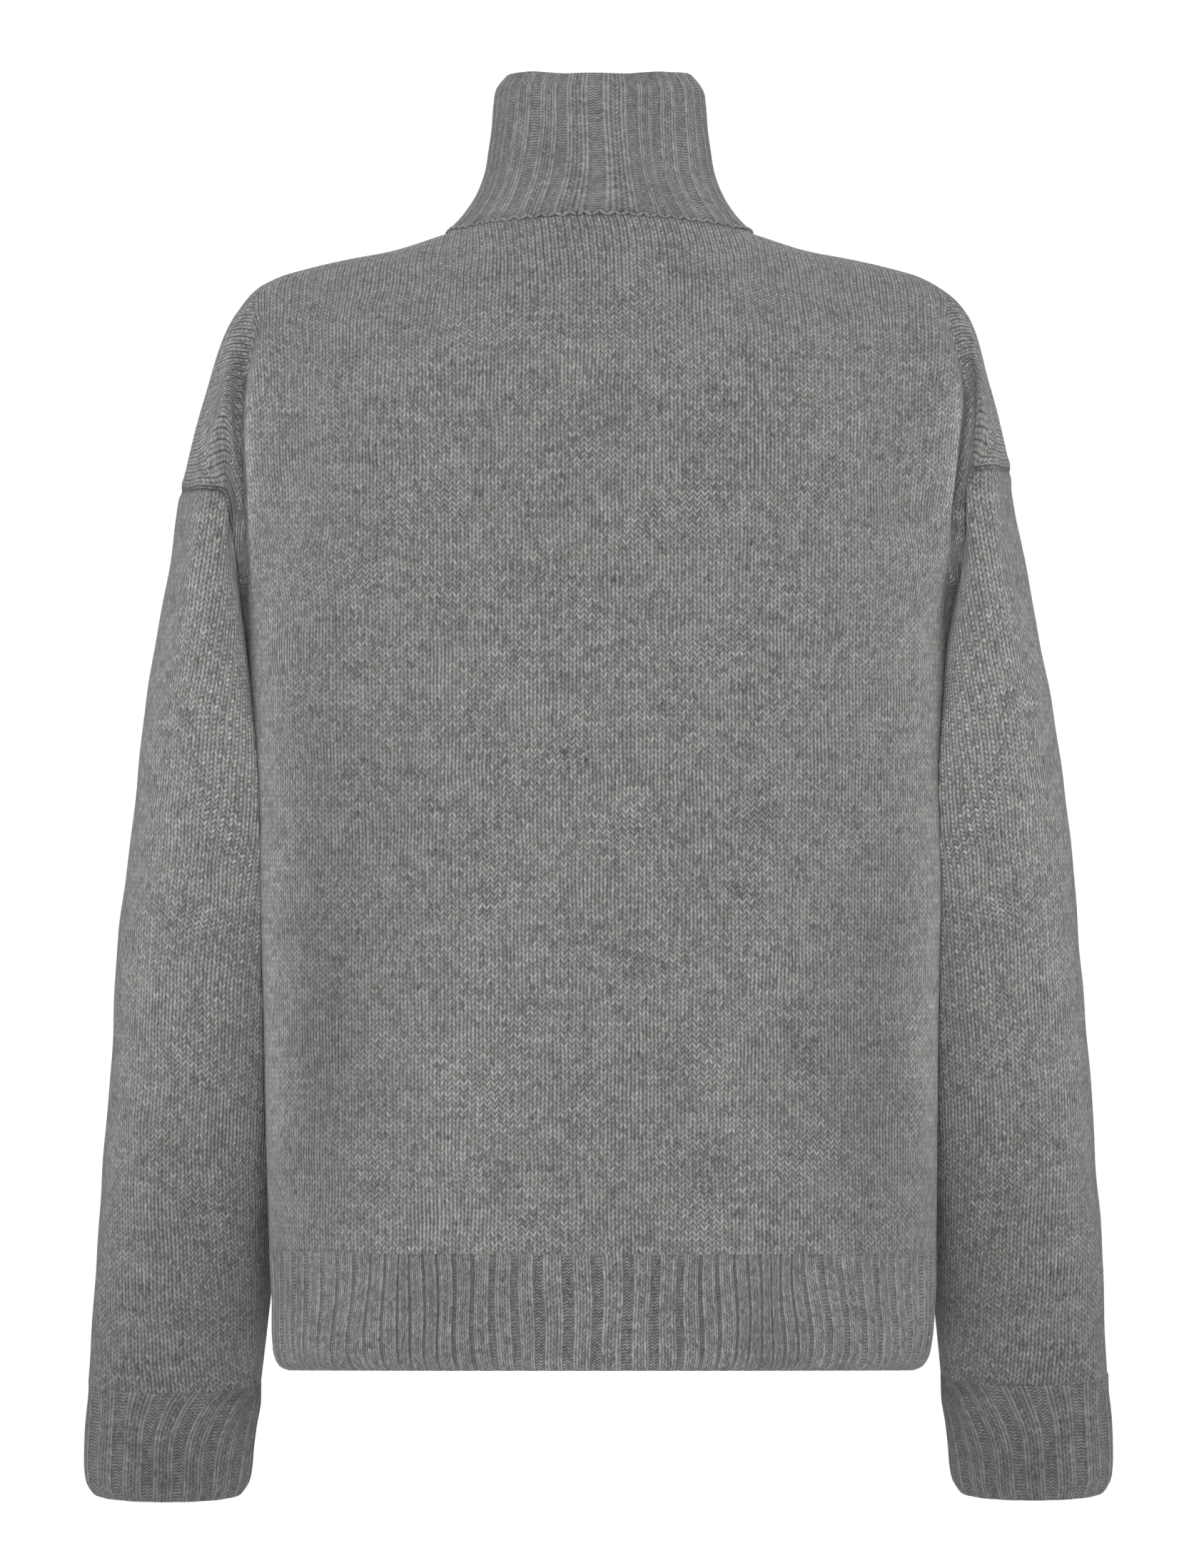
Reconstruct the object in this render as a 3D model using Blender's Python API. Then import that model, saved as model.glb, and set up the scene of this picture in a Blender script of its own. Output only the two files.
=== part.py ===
"""Turtleneck sweater with dropped shoulders, filled out in the shape in which it is worn.

The tables are in millimetres and the meshes in metres. The front faces -Y, the wearer's left is +X and
up is +Z. The origin is in the middle of the neck, level with the tops of the shoulders by the collar.

Each piece starts as a grid of points on the outer face of the cloth. A point's place in the wall is
worked out from the faces around it, across the seams too, and the inner face lies one thickness inwards.
"""

import math

import bmesh
import bpy
import numpy as np

MM = 0.001

WALL = 2.4  # thickness of the plain knit
RIB_WALL = 2.0  # thickness of a ribbed piece in the valleys of its ribs
RIB_RELIEF = 1.6  # height of a rib over its valleys
SEAM_GAP = 0.3  # between two pieces that are linked together
RIB_SEAM_GAP = 0.8  # twice what a ribbed tube stands off its seam, which its ribs follow in short straights
MOST_MITRE = 1.5  # how many thicknesses deep the wall may be in the bottom of a crease
NECK_PASSES = 3  # of evening out the ways outwards round the neckline
UNDERARM_WAY = (0.0, 0.0, -1.3)  # outwards at the lowest point of an armhole, in thicknesses
UNDERARM_FLARE = {-1: 3.4, -2: 1.8, -3: 1.0}  # outwards there, by the line counted from the armhole
SMOOTH_ANGLE = 40.0  # degrees

# The sign of a tangent's cross product with the way outwards, for it to point into the piece.
INWARDS = {("row", 0): -1, ("row", -1): 1, ("column", 0): 1, ("column", -1): -1}

MELANGE_GREY = (0.215, 0.218, 0.211)
WOOL_ROUGHNESS = 0.95

# The body below the arms, from the hem rib up: half widths to the wearer's left and right, and the
# depths from the side seams to the middle of the back and of the front.
SECTION_POWER = 2.4
TORSO_SECTIONS = (
    # z, left, right, back, front
    (-552.6, 180.4, 184.0, 104.0, 103.0),
    (-500.0, 182.1, 184.5, 104.0, 104.0),
    (-430.0, 183.5, 185.3, 105.0, 106.0),
    (-350.0, 186.8, 188.0, 109.0, 109.0),
    (-290.0, 188.4, 186.8, 113.0, 112.0),
    (-240.0, 190.9, 188.4, 116.0, 114.0),
    (-205.0, 192.9, 189.4, 117.5, 115.0),
)
HEM_SECTIONS = (
    (-552.6, 180.4, 184.0, 104.0, 103.0),
    (-580.0, 179.0, 183.2, 103.6, 102.6),
    (-603.0, 178.6, 181.4, 103.2, 102.2),
    (-613.0, 176.6, 178.6, 102.6, 101.6),
    (-619.3, 171.4, 172.4, 101.0, 100.0),
)

# The lines that run up a panel from its hem to its top edge, from its middle to its side. The first
# share is where a line lies on the half section below the arms, the second where it lies at the arms,
# and the steps are the faces between it and the line before.
PANEL_LINES = (
    # name, share low down, share at the underarm, steps
    ("middle", 0.0, 0.0, 0),
    ("collar_near", 0.115, 0.115, 2),
    ("collar_far", 0.225, 0.225, 2),
    ("neck_point", 0.32, 0.32, 3),
    ("shoulder_inner", 0.44, 0.46, 1),
    ("shoulder_mid", 0.58, 0.62, 2),
    ("shoulder_outer", 0.71, 0.77, 2),
    ("ridge", 0.83, 0.90, 2),
    ("crease", 0.89, 0.962, 2),
    ("arm_ridge", 0.93, 0.975, 1),
    ("arm_back", 0.965, 0.987, 2),
    ("armhole", 1.0, 1.0, 1),
)
SHARES_MEET_Z = -290.0  # below this level the lines keep to their low shares
TORSO_STEPS = (1, 1, 2, 1, 1, 1)  # rows of faces between the sections
YOKE_STEPS = (4, 1, 1, 1, 2, 3)  # and between the levels above them

# Above the underarm each line passes through six points, the last one on the shoulder seam, which
# lies a little to the front of the shoulder's crown, or on the neckline.
BACK_YOKE = {
    # line: x, y, z at each of the six levels
    "middle": (
        (0, 118, -158), (0, 117.2, -134), (0, 115, -110),
        (0, 105, -66), (0, 86, -25), (0, 60, 11.3),
    ),
    "collar_near": (
        (31, 117, -158), (32, 116.2, -134), (33, 114, -110),
        (36, 103, -66), (39, 81, -26), (41, 50.9, 9.2),
    ),
    "collar_far": (
        (58, 115, -158), (59.3, 113.9, -134), (61, 111, -110),
        (65, 98, -66), (69, 71, -28), (71, 26, 5.6),
    ),
    "neck_point": (
        (80, 112, -158), (81.2, 110.5, -134), (83, 107, -110),
        (86, 92, -66), (87, 58, -30), (83, -8, 2.6),
    ),
    "shoulder_inner": (
        (110, 105, -158), (110.5, 103.8, -134), (112, 100, -110),
        (114, 84, -67), (114, 50, -31), (112, -8, -6.6),
    ),
    "shoulder_mid": (
        (141, 91, -158), (141.4, 90.2, -134.5), (142, 87, -111),
        (143.5, 72, -70), (142, 42, -35.5), (140, -8, -12),
    ),
    "shoulder_outer": (
        (166, 71, -158), (166.3, 70.4, -135), (167, 68, -112),
        (168, 56, -74), (164, 34, -42), (160, -8, -16.6),
    ),
    "ridge": (
        (189.5, 44, -160), (189.8, 47.2, -137), (190, 48, -114),
        (189, 42, -80), (182.5, 27, -49), (176, -7.5, -21.4),
    ),
    "crease": (
        (192.3, 32, -169), (193.4, 30, -147), (195.6, 30, -119),
        (196, 28, -87), (190.5, 18, -57), (186.5, -7, -27),
    ),
    "arm_ridge": (
        (194, 29, -173), (196.6, 32.4, -150.5), (202, 38, -122),
        (204, 37, -91), (201, 22, -66), (198, -6.5, -40.2),
    ),
    "arm_back": (
        (195.8, 25.6, -177), (198.8, 33, -153), (205, 41.5, -131),
        (212.5, 39, -112), (215.5, 21, -97), (216.5, -6, -89),
    ),
    "armhole": (
        (197.6, 22, -180), (200.6, 32, -156), (205, 41.5, -139),
        (214, 42, -137.6), (224.5, 22, -138), (229, -5, -138),
    ),
}
# The front's own lines round its lower neckline. Its other lines mirror the back's.
FRONT_YOKE = {
    "middle": (
        (0, -117, -160), (0, -117.3, -139), (0, -116, -118),
        (0, -110, -90), (0, -100, -66), (0, -86, -45.7),
    ),
    "collar_near": (
        (31, -116, -160), (31.8, -116, -138.4), (33, -114.5, -117),
        (36, -108, -88), (39, -95, -60), (41, -75.5, -37.4),
    ),
    "collar_far": (
        (58, -114, -159), (59.3, -113.5, -136), (61, -111, -113),
        (65, -101, -78), (69, -80, -45), (71, -47, -16.8),
    ),
}
MIRROR_Y = (0.0, -0.8, -2.0, -5.0, -8.0)  # where the back's lines are mirrored, by level

# The wearer's right seam lies higher on the arm than the left one, and narrows inwards with that.
SEAM_LIFT = {1: 0.0, -1: 11.0}
LIFT_SHARES = {"arm_ridge": 0.5, "arm_back": 0.85, "armhole": 1.0}
LIFT_LEVELS = (0.1, 0.35, 1.0, 1.0, 1.0, 1.0)
LIFT_IN = (0.0, 0.1, 0.15, 0.3, 0.36, 0.36)
# How much further out the creases lie at the right arm, by level.
RIGHT_OUT = {
    "ridge": (0, 1.6, 3.4, 5.5, 3.5, 0),
    "crease": (0, 0.2, 0.8, 4.6, 3.5, 0),
    "arm_ridge": (0, 0.6, 1.2, 3.6, 2.4, 0),
    "arm_back": (0, 0.2, 0.4, 1.4, 0.8, 0),
}

# The sleeve from its armhole to its cuff. The outlines are the silhouette's, and the sleeve hangs
# forwards as it goes down.
SLEEVE_POWER = 2.2
SLEEVE_SECTIONS = (
    # z, left outer, left inner, right outer, right inner, middle in y, half depth
    (-138.0, 229.2, 186.0, 227.0, 186.0, -5.0, 50.0),
    (-205.0, 239.6, 186.0, 239.2, 184.0, -9.0, 54.0),
    (-260.0, 249.2, 176.0, 248.4, 175.0, -15.0, 57.0),
    (-302.0, 253.9, 168.0, 254.4, 168.0, -21.0, 58.0),
    (-353.0, 259.7, 162.0, 260.1, 163.0, -28.0, 58.0),
    (-389.0, 264.0, 162.0, 263.2, 163.0, -33.0, 57.0),
    (-455.0, 268.3, 167.0, 269.5, 168.0, -42.0, 54.0),
    (-502.0, 271.4, 172.0, 271.6, 173.5, -48.0, 50.0),
    (-538.0, 273.8, 176.0, 273.4, 178.0, -53.0, 46.0),
    (-565.0, 275.3, 179.0, 275.0, 181.5, -57.0, 42.0),
    (-599.0, 278.1, 182.8, 276.8, 185.4, -61.0, 36.0),
    (-632.0, 280.0, 186.8, 279.2, 188.6, -64.0, 29.0),
)
CUFF_SEAM_Z = {1: -627.5, -1: -623.0}
CUFF_TILT = 0.18  # how far the back of a cuff hangs below its middle, as a share of the depth
SLEEVE_ROWS = 14
ARMHOLE_FADE = 150.0  # below the armhole the sleeve keeps some of its shape for this far
SLEEVE_CLEARANCE = 3.0  # from the body's side
UNDERARM_CLEARANCE = 5.0  # next to the underarm, easing to the other one over the first rows
CLEARANCE_ROWS = 4
CLEARANCE_SOFTNESS = 3.5

CUFF_SECTIONS = (
    # below the cuff seam, wider by, shift outwards, middle in y, half depth
    (0.0, 0.0, 0.0, -63.6, 30.0),
    (14.0, -1.4, 0.9, -65.0, 27.4),
    (34.0, -3.4, 2.6, -67.0, 26.4),
    (48.0, -5.0, 3.2, -68.6, 25.8),
    (55.0, -8.4, 3.4, -69.4, 25.2),
    (59.4, -15.0, 3.6, -70.0, 23.6),
)

CUFF_FADE = 24.0  # below its seam the cuff keeps some of the sleeve's shape for this far

COLLAR_SECTIONS = (
    # z, half width, middle in y, half depth
    (-50.0, 92.0, -10.0, 80.0),
    (-20.0, 88.0, -10.0, 76.0),
    (3.0, 82.0, -10.0, 71.5),
    (12.0, 74.6, -11.0, 67.5),
    (21.0, 69.0, -12.0, 64.0),
    (30.0, 65.2, -13.0, 61.5),
    (38.0, 62.6, -14.0, 59.5),
    (50.0, 60.6, -15.0, 57.5),
    (62.0, 59.0, -16.0, 56.0),
    (75.0, 58.0, -17.0, 55.0),
    (84.0, 56.4, -17.6, 53.6),
    (91.7, 50.6, -18.0, 49.0),
)
COLLAR_MIDDLE = (0.0, -10.0)  # the middle of the neckline in x and y
COLLAR_BASE = (82.0, 71.5)  # and its half width and half depth
COLLAR_TOP_BACK = 91.7
COLLAR_TOP_FRONT = 85.0
COLLAR_SIDE_DIP = 1.5  # the top edge lies this much lower at the sides
COLLAR_ROWS = (0.0, 0.07, 0.16, 0.28, 0.42, 0.62, 0.82, 0.93, 0.98, 1.0)
COLLAR_FADE = 0.30  # share of the collar's height over which it takes up the neckline's shape

HEM_RIBS = 32  # on each of the two panels
COLLAR_BACK_RIBS = 10
COLLAR_FRONT_RIBS = 12
CUFF_RIBS = 14
# One rib from the start of its valley, and the height that it has there.
RIB_POINTS = ((0.03, 0.0), (0.31, 0.0), (0.42, 1.0), (0.92, 1.0))
LEVEL_RIB = 0.5  # the share of the relief that lies above the plain knit
EDGE_SINK = 0.2  # how far a free edge, where the ribs end, lies below the plain knit, as such a share


def through(points, steps, before=None, after=None):
    """Points on a smooth curve through the given ones, with this many steps in each stretch."""
    points = np.asarray(points, float)
    first = 2 * points[0] - points[1] if before is None else np.asarray(before, float)
    last = 2 * points[-1] - points[-2] if after is None else np.asarray(after, float)
    knots = np.vstack([first, points, last])
    lengths = np.maximum(np.linalg.norm(np.diff(knots, axis=0), axis=1), 1e-6)
    slopes = np.diff(knots, axis=0) / lengths[:, None]
    near, far = lengths[:-1, None], lengths[1:, None]
    tangents = (slopes[:-1] * far + slopes[1:] * near) / (near + far)
    made = []
    for i, count in enumerate(steps):
        for step in range(count):
            t = step / count
            length = lengths[i + 1]
            made.append(
                (2 * t**3 - 3 * t**2 + 1) * points[i]
                + (t**3 - 2 * t**2 + t) * length * tangents[i]
                + (3 * t**2 - 2 * t**3) * points[i + 1]
                + (t**3 - t**2) * length * tangents[i + 1]
            )
    made.append(points[-1])
    return np.array(made)


def along(table, place):
    """The row of a table at a value of its first column, read smoothly between the rows."""
    rows = np.array(sorted(table), float)
    places, values = rows[:, 0], rows[:, 1:]
    slopes = np.diff(values, axis=0) / np.diff(places)[:, None]
    tangents = np.vstack([slopes[:1], (slopes[:-1] + slopes[1:]) / 2, slopes[-1:]])
    place = min(max(place, places[0]), places[-1])
    i = min(int(np.searchsorted(places, place, side="right")) - 1, len(places) - 2)
    width = places[i + 1] - places[i]
    t = (place - places[i]) / width
    return (
        (2 * t**3 - 3 * t**2 + 1) * values[i]
        + (t**3 - 2 * t**2 + t) * width * tangents[i]
        + (3 * t**2 - 2 * t**3) * values[i + 1]
        + (t**3 - t**2) * width * tangents[i + 1]
    )


def eased(share):
    """0 to 1 with a soft start and end."""
    share = min(max(share, 0.0), 1.0)
    return share * share * (3 - 2 * share)


def section_point(half_width, depth, share):
    """The place at a share of a quarter section, counted along it from the middle to the side."""
    turns = np.linspace(0.0, math.pi / 2, 181)
    xs = half_width * np.sin(turns) ** (2 / SECTION_POWER)
    ys = depth * np.abs(np.cos(turns)) ** (2 / SECTION_POWER)
    run = np.concatenate([[0.0], np.cumsum(np.hypot(np.diff(xs), np.diff(ys)))])
    return np.interp(share * run[-1], run, xs), np.interp(share * run[-1], run, ys)


def torso_row(table, z, side, face):
    """One section's points, from the middle to one side. side is 1 for the left, face 1 for the back."""
    left, right, back, front = along(table, z)
    half_width = left if side > 0 else right
    depth = back if face > 0 else front
    low_z, underarm_z = SHARES_MEET_Z, TORSO_SECTIONS[-1][0]
    rise = eased((z - low_z) / (underarm_z - low_z))
    row = []
    for _, low_share, underarm_share, _ in PANEL_LINES:
        share = low_share + (underarm_share - low_share) * rise
        x, y = section_point(half_width, depth, share)
        row.append((side * x, face * y, z))
    return np.array(row)


def yoke_line(name, side, face):
    """The points of a line above the underarm."""
    points = np.array(BACK_YOKE[name], float)
    if face < 0 and name in FRONT_YOKE:
        points = np.array(FRONT_YOKE[name], float)
    elif face < 0:
        points[:-1, 1] = 2 * np.array(MIRROR_Y) - points[:-1, 1]
    lift = SEAM_LIFT[side] * LIFT_SHARES.get(name, 0.0) * np.array(LIFT_LEVELS)
    points[:, 2] += lift
    points[:, 0] -= lift * np.array(LIFT_IN)
    if side < 0:
        points[:, 0] += RIGHT_OUT.get(name, 0.0)
    points[:, 0] *= side
    return points


def panel_net(side, face):
    """Half a panel's lines: one row for each section and level, one column for each line."""
    rows = [torso_row(TORSO_SECTIONS, section[0], side, face) for section in TORSO_SECTIONS]
    for column, out in UNDERARM_FLARE.items():
        rows[-1][column, 0] += side * out
    yoke = np.array([yoke_line(line[0], side, face) for line in PANEL_LINES])
    return np.concatenate([np.array(rows), yoke.transpose(1, 0, 2)])


def panel_grid(face):
    """The outer face of the back or the front, from its left side to its right side, hem to top."""
    steps = [line[3] for line in PANEL_LINES[1:]]
    neck_lines = [i for i, line in enumerate(PANEL_LINES) if line[0].startswith(("middle", "collar"))]
    halves = []
    for side in (1, -1):
        net = panel_net(side, face)
        other = panel_net(side, -face)
        columns = []
        for i in range(net.shape[1]):
            over = None if i in neck_lines else other[-2, i]
            columns.append(through(net[:, i], TORSO_STEPS + YOKE_STEPS, after=over))
        halves.append(np.array(columns))
    left, right = halves
    knots = np.concatenate([left[::-1], right[1:]])
    row_steps = steps[::-1] + steps
    underarm_row = sum(TORSO_STEPS)
    grid = []
    for row in range(knots.shape[1] - 1):
        line = knots[:, row]
        before = after = None
        if row < underarm_row:
            before = line[1] * (1, -1, 1)
            after = line[-2] * (1, -1, 1)
        grid.append(through(line, row_steps, before, after))
    grid.append(top_row(knots[:, -1], row_steps, face))
    return np.array(grid)


def top_row(line, steps, face):
    """The panel's top edge: a shoulder seam, the neckline and the other shoulder seam."""
    neck = [entry[0] for entry in PANEL_LINES].index("neck_point")
    outside = len(PANEL_LINES) - 1 - neck
    next_left, next_right = (yoke_line("collar_far", side, -face)[-1] for side in (1, -1))
    left = through(line[: outside + 1], steps[:outside])
    neckline = through(line[outside:-outside], steps[outside:-outside], next_left, next_right)
    right = through(line[-outside - 1 :], steps[-outside:])
    return np.concatenate([left, neckline[1:-1], right])


def hem_grid(face):
    """The plain surface under a hem rib, with the panel's own columns at its top."""
    steps = [line[3] for line in PANEL_LINES[1:]]
    rows = []
    for section in HEM_SECTIONS[::-1]:
        halves = [torso_row(HEM_SECTIONS, section[0], side, face) for side in (1, -1)]
        line = np.concatenate([halves[0][::-1], halves[1][1:]])
        before = line[1] * (1, -1, 1)
        after = line[-2] * (1, -1, 1)
        rows.append(through(line, steps[::-1] + steps, before, after))
    return np.array(rows)


def armhole_loop(back, front, side):
    """The armhole from the underarm, up round the back of the arm, over it and down the front."""
    underarm_row = sum(TORSO_STEPS)
    column = 0 if side > 0 else -1
    up = back[underarm_row:, column]
    down = front[underarm_row:, column][::-1]
    return np.concatenate([up, down[1:-1]])


def body_side_x(y, z, side):
    """How far out the body's side is at this depth and level."""
    z = min(z, TORSO_SECTIONS[-1][0])
    left, right, back, front = along(TORSO_SECTIONS, max(z, TORSO_SECTIONS[0][0]))
    half_width = left if side > 0 else right
    depth = back if y > 0 else front
    rest = max(1 - min(abs(y) / depth, 1.0) ** SECTION_POWER, 0.0)
    return half_width * rest ** (1 / SECTION_POWER)


def squared(value):
    """A sine or cosine, drawn towards the corners of a sleeve's section."""
    return math.copysign(abs(value) ** (2 / SLEEVE_POWER), value)


def sleeve_point(z, turn, side):
    """A point of the sleeve's free shape. turn is 0 next to the body and a quarter turn at the back."""
    left_outer, left_inner, right_outer, right_inner, mid_y, half_depth = along(SLEEVE_SECTIONS, z)
    outer, inner = (left_outer, left_inner) if side > 0 else (right_outer, right_inner)
    x = (outer + inner) / 2 - (outer - inner) / 2 * squared(math.cos(turn))
    return np.array([x, mid_y + half_depth * squared(math.sin(turn)), z])


def clear_of_body(point, side, row):
    """The point, moved outwards where the body's side is in its way. Row 0 is the armhole."""
    start = eased(row / CLEARANCE_ROWS)
    clearance = UNDERARM_CLEARANCE + (SLEEVE_CLEARANCE - UNDERARM_CLEARANCE) * start
    limit = body_side_x(point[1], point[2], side) + clearance
    softness = CLEARANCE_SOFTNESS * start
    over = (point[0] - limit) / softness
    moved = point.copy()
    moved[0] = limit + softness * math.log1p(math.exp(over)) if over < 30 else point[0]
    return moved


def sleeve_grid(loop, side):
    """The sleeve's outer face. Its first row is the armhole and its last row is the cuff seam."""
    lengths = np.linalg.norm(np.diff(np.vstack([loop, loop[:1]]), axis=0), axis=1)
    turns = np.concatenate([[0.0], np.cumsum(lengths)[:-1]]) / lengths.sum() * 2 * math.pi
    columns = []
    for start, turn in zip(loop, turns):
        start = start * (side, 1, 1)
        end_z = CUFF_SEAM_Z[side]
        mid_y = along(SLEEVE_SECTIONS, end_z)[4]
        end_z -= CUFF_TILT * (sleeve_point(end_z, turn, side)[1] - mid_y)
        offset = start - sleeve_point(start[2], turn, side)
        column = []
        for row in range(SLEEVE_ROWS + 1):
            share = row / SLEEVE_ROWS
            share = 0.75 * share + 0.25 * share**2
            z = start[2] + (end_z - start[2]) * share
            kept = 1 - eased((start[2] - z) / ARMHOLE_FADE)
            point = sleeve_point(z, turn, side) + offset * (kept, kept, 0)
            if row:
                point = clear_of_body(point, side, row)
            column.append(point * (side, 1, 1))
        columns.append(column)
    return np.array(columns).transpose(1, 0, 2), turns


def cuff_grid(top, turns, side):
    """The plain surface under a cuff's ribs, from the cuff seam down."""
    level = CUFF_SEAM_Z[side]
    edges = along(SLEEVE_SECTIONS, level)
    outer, inner = edges[:2] if side > 0 else edges[2:4]
    rows = []
    for drop, wider, shift, mid_y, half_depth in CUFF_SECTIONS:
        middle, half_width = (outer + inner) / 2 + shift, (outer - inner + wider) / 2
        kept = 1 - eased(drop / CUFF_FADE)
        row = []
        for seam, turn in zip(top, turns):
            x = middle - half_width * squared(math.cos(turn))
            y = mid_y + half_depth * squared(math.sin(turn))
            free = np.array([side * x, y, level - drop - CUFF_TILT * (y - mid_y)])
            row.append(free * (1 - kept) + (seam - (0, 0, drop)) * kept)
        rows.append(row)
    return np.array(rows)


def columns_outside_neck():
    """How many of a panel's columns of faces lie to one side of its neckline."""
    return sum(line[3] for line in PANEL_LINES[4:])


def collar_grid(back, front):
    """The plain surface under the collar's ribs, from the neckline up, round from the left side."""
    outside = columns_outside_neck()
    back_neck = back[-1, outside:-outside]
    front_neck = front[-1, outside:-outside][::-1]
    loop = np.concatenate([back_neck, front_neck[1:-1]])
    columns = []
    for base in loop:
        aim = base[:2] - COLLAR_MIDDLE
        turn = math.atan2(aim[0] / COLLAR_BASE[0], aim[1] / COLLAR_BASE[1])
        toward_back = (1 + math.cos(turn)) / 2
        top_z = COLLAR_TOP_FRONT + (COLLAR_TOP_BACK - COLLAR_TOP_FRONT) * toward_back
        top_z -= COLLAR_SIDE_DIP * math.sin(turn) ** 4
        column = []
        for share in COLLAR_ROWS:
            z = base[2] + (top_z - base[2]) * share
            half_width, mid_y, half_depth = along(COLLAR_SECTIONS, z + (COLLAR_TOP_BACK - top_z) * share)
            free = np.array([half_width * math.sin(turn), mid_y + half_depth * math.cos(turn), z])
            if share == 0:
                offset = base - free
            column.append(free + offset * (1 - eased(share / COLLAR_FADE)))
        columns.append(column)
    return np.array(columns).transpose(1, 0, 2)


def quads(rows, columns, closed):
    """Corner indices of a grid's faces."""
    across = columns if closed else columns - 1
    faces = []
    for row in range(rows - 1):
        low, high = row * columns, (row + 1) * columns
        for column in range(across):
            after = (column + 1) % columns
            faces.append((low + column, low + after, high + after, high + column))
    return faces


def corner_normals(flat, face):
    """The quad's outward unit normal and the angle at each of its corners."""
    points = flat[list(face)]
    normal = np.cross(points[2] - points[0], points[3] - points[1])
    normal /= max(np.linalg.norm(normal), 1e-9)
    angles = []
    for i in range(4):
        ahead, behind = points[(i + 1) % 4] - points[i], points[i - 1] - points[i]
        size = max(np.linalg.norm(ahead) * np.linalg.norm(behind), 1e-9)
        angles.append(math.acos(min(max(ahead @ behind / size, -1.0), 1.0)))
    return normal, angles


def wall_directions(sheets):
    """For each sheet, the way outwards at every point, lengthened in creases so the wall stays even.

    A sheet is (grid, closed, flipped). Points that sheets share count as one, so that two pieces have
    the same direction along their seam.
    """
    around = {}
    for grid, closed, flipped in sheets:
        flat = grid.reshape(-1, 3)
        for face in quads(grid.shape[0], grid.shape[1], closed):
            normal, angles = corner_normals(flat, face)
            for corner, angle in zip(face, angles):
                entry = around.setdefault(tuple(np.round(flat[corner], 3)), [])
                entry.append((*(normal * (-1 if flipped else 1)), angle))
    directions = []
    for grid, _, _ in sheets:
        flat = grid.reshape(-1, 3)
        out = np.empty_like(flat)
        for i, point in enumerate(flat):
            entries = np.array(around[tuple(np.round(point, 3))])
            units, angles = entries[:, :3], entries[:, 3]
            total = (units * angles[:, None]).sum(axis=0)
            total /= max(np.linalg.norm(total), 1e-9)
            facing = float((units @ total * angles).sum() / angles.sum())
            out[i] = total / max(facing, 1 / MOST_MITRE)
        directions.append(out.reshape(grid.shape))
    return directions


def even_neckline(ways):
    """Even out the ways outwards round the neckline, alike for the collar and both panels."""
    ring = ways["collar"][0]
    for _ in range(NECK_PASSES):
        ring = (np.roll(ring, 1, axis=0) + 2 * ring + np.roll(ring, -1, axis=0)) / 4
    ways["collar"][0] = ring
    outside = columns_outside_neck()
    size = ways["back"].shape[1] - 2 * outside
    ways["back"][-1, outside:-outside] = ring[:size]
    ways["front"][-1, outside:-outside] = np.concatenate([ring[:1], ring[size - 1 :][::-1]])


def drawn_back(grid, directions, edge, closed, flipped, gap):
    """The grid with one edge moved half a gap into its own piece. edge is a row or column index."""
    kind, index = edge
    moved = grid.copy()
    line = grid[index] if kind == "row" else grid[:, index]
    way = directions[index] if kind == "row" else directions[:, index]
    inwards = INWARDS[edge] * (-1 if flipped else 1)
    count = len(line)
    for i in range(count):
        if closed and kind == "row":
            tangent = line[(i + 1) % count] - line[i - 1]
        else:
            tangent = line[min(i + 1, count - 1)] - line[max(i - 1, 0)]
        aside = np.cross(tangent, way[i]) * inwards
        aside *= gap / 2 / max(np.linalg.norm(aside), 1e-9)
        if kind == "row":
            moved[index, i] += aside
        else:
            moved[i, index] += aside
    return moved


def wall_mesh(name, outer, inner, closed, flipped, every=1):
    """A closed wall between two grids. The inner one has one column for each so many outer ones."""
    rows, columns = outer.shape[:2]
    inner_rows, inner_columns = inner.shape[:2]
    bm = bmesh.new()
    outer_verts = [[bm.verts.new(point * MM) for point in row] for row in outer]
    inner_verts = [[bm.verts.new(point * MM) for point in row] for row in inner]

    def add(corners):
        bm.faces.new(corners[::-1] if flipped else corners)

    def add_split(corners, rising=None):
        """Two triangles, parted at the first corner or at the second, or along the shorter diagonal."""
        first, second, third, fourth = corners
        if rising is None:
            rising = (third.co - first.co).length < (fourth.co - second.co).length
        if rising:
            add([first, second, third])
            add([first, third, fourth])
        else:
            add([first, second, fourth])
            add([second, third, fourth])
        return rising

    across = columns if closed else columns - 1
    inner_across = inner_columns if closed else inner_columns - 1
    for row in range(rows - 1):
        for column in range(across):
            after = (column + 1) % columns
            low, high = outer_verts[row], outer_verts[row + 1]
            rising = add_split([low[column], low[after], high[after], high[column]])
            if every == 1:
                low, high = inner_verts[row], inner_verts[row + 1]
                add_split([high[column], high[after], low[after], low[column]], not rising)
    if every > 1:
        for row in range(inner_rows - 1):
            for column in range(inner_across):
                after = (column + 1) % inner_columns
                low, high = inner_verts[row], inner_verts[row + 1]
                add([high[column], high[after], low[after], low[column]])
    for end in (0, -1):
        for column in range(inner_across):
            after = (column + 1) % inner_columns
            span = [outer_verts[end][(column * every + k) % columns] for k in range(every + 1)]
            face = span[::-1] + [inner_verts[end][column], inner_verts[end][after]]
            face = face if end == 0 else face[::-1]
            if every == 1:
                add_split(face)
            else:
                add(face)
    if not closed:
        for end in (0, -1):
            outer_side = [row[end] for row in outer_verts]
            inner_side = [row[end] for row in inner_verts]
            for row in range(rows - 1):
                face = [outer_side[row], outer_side[row + 1], inner_side[row + 1], inner_side[row]]
                add_split(face if end == 0 else face[::-1])
    mesh = bpy.data.meshes.new(name)
    bm.to_mesh(mesh)
    bm.free()
    mesh.shade_smooth()
    mesh.set_sharp_from_angle(angle=math.radians(SMOOTH_ANGLE))
    return mesh


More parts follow.
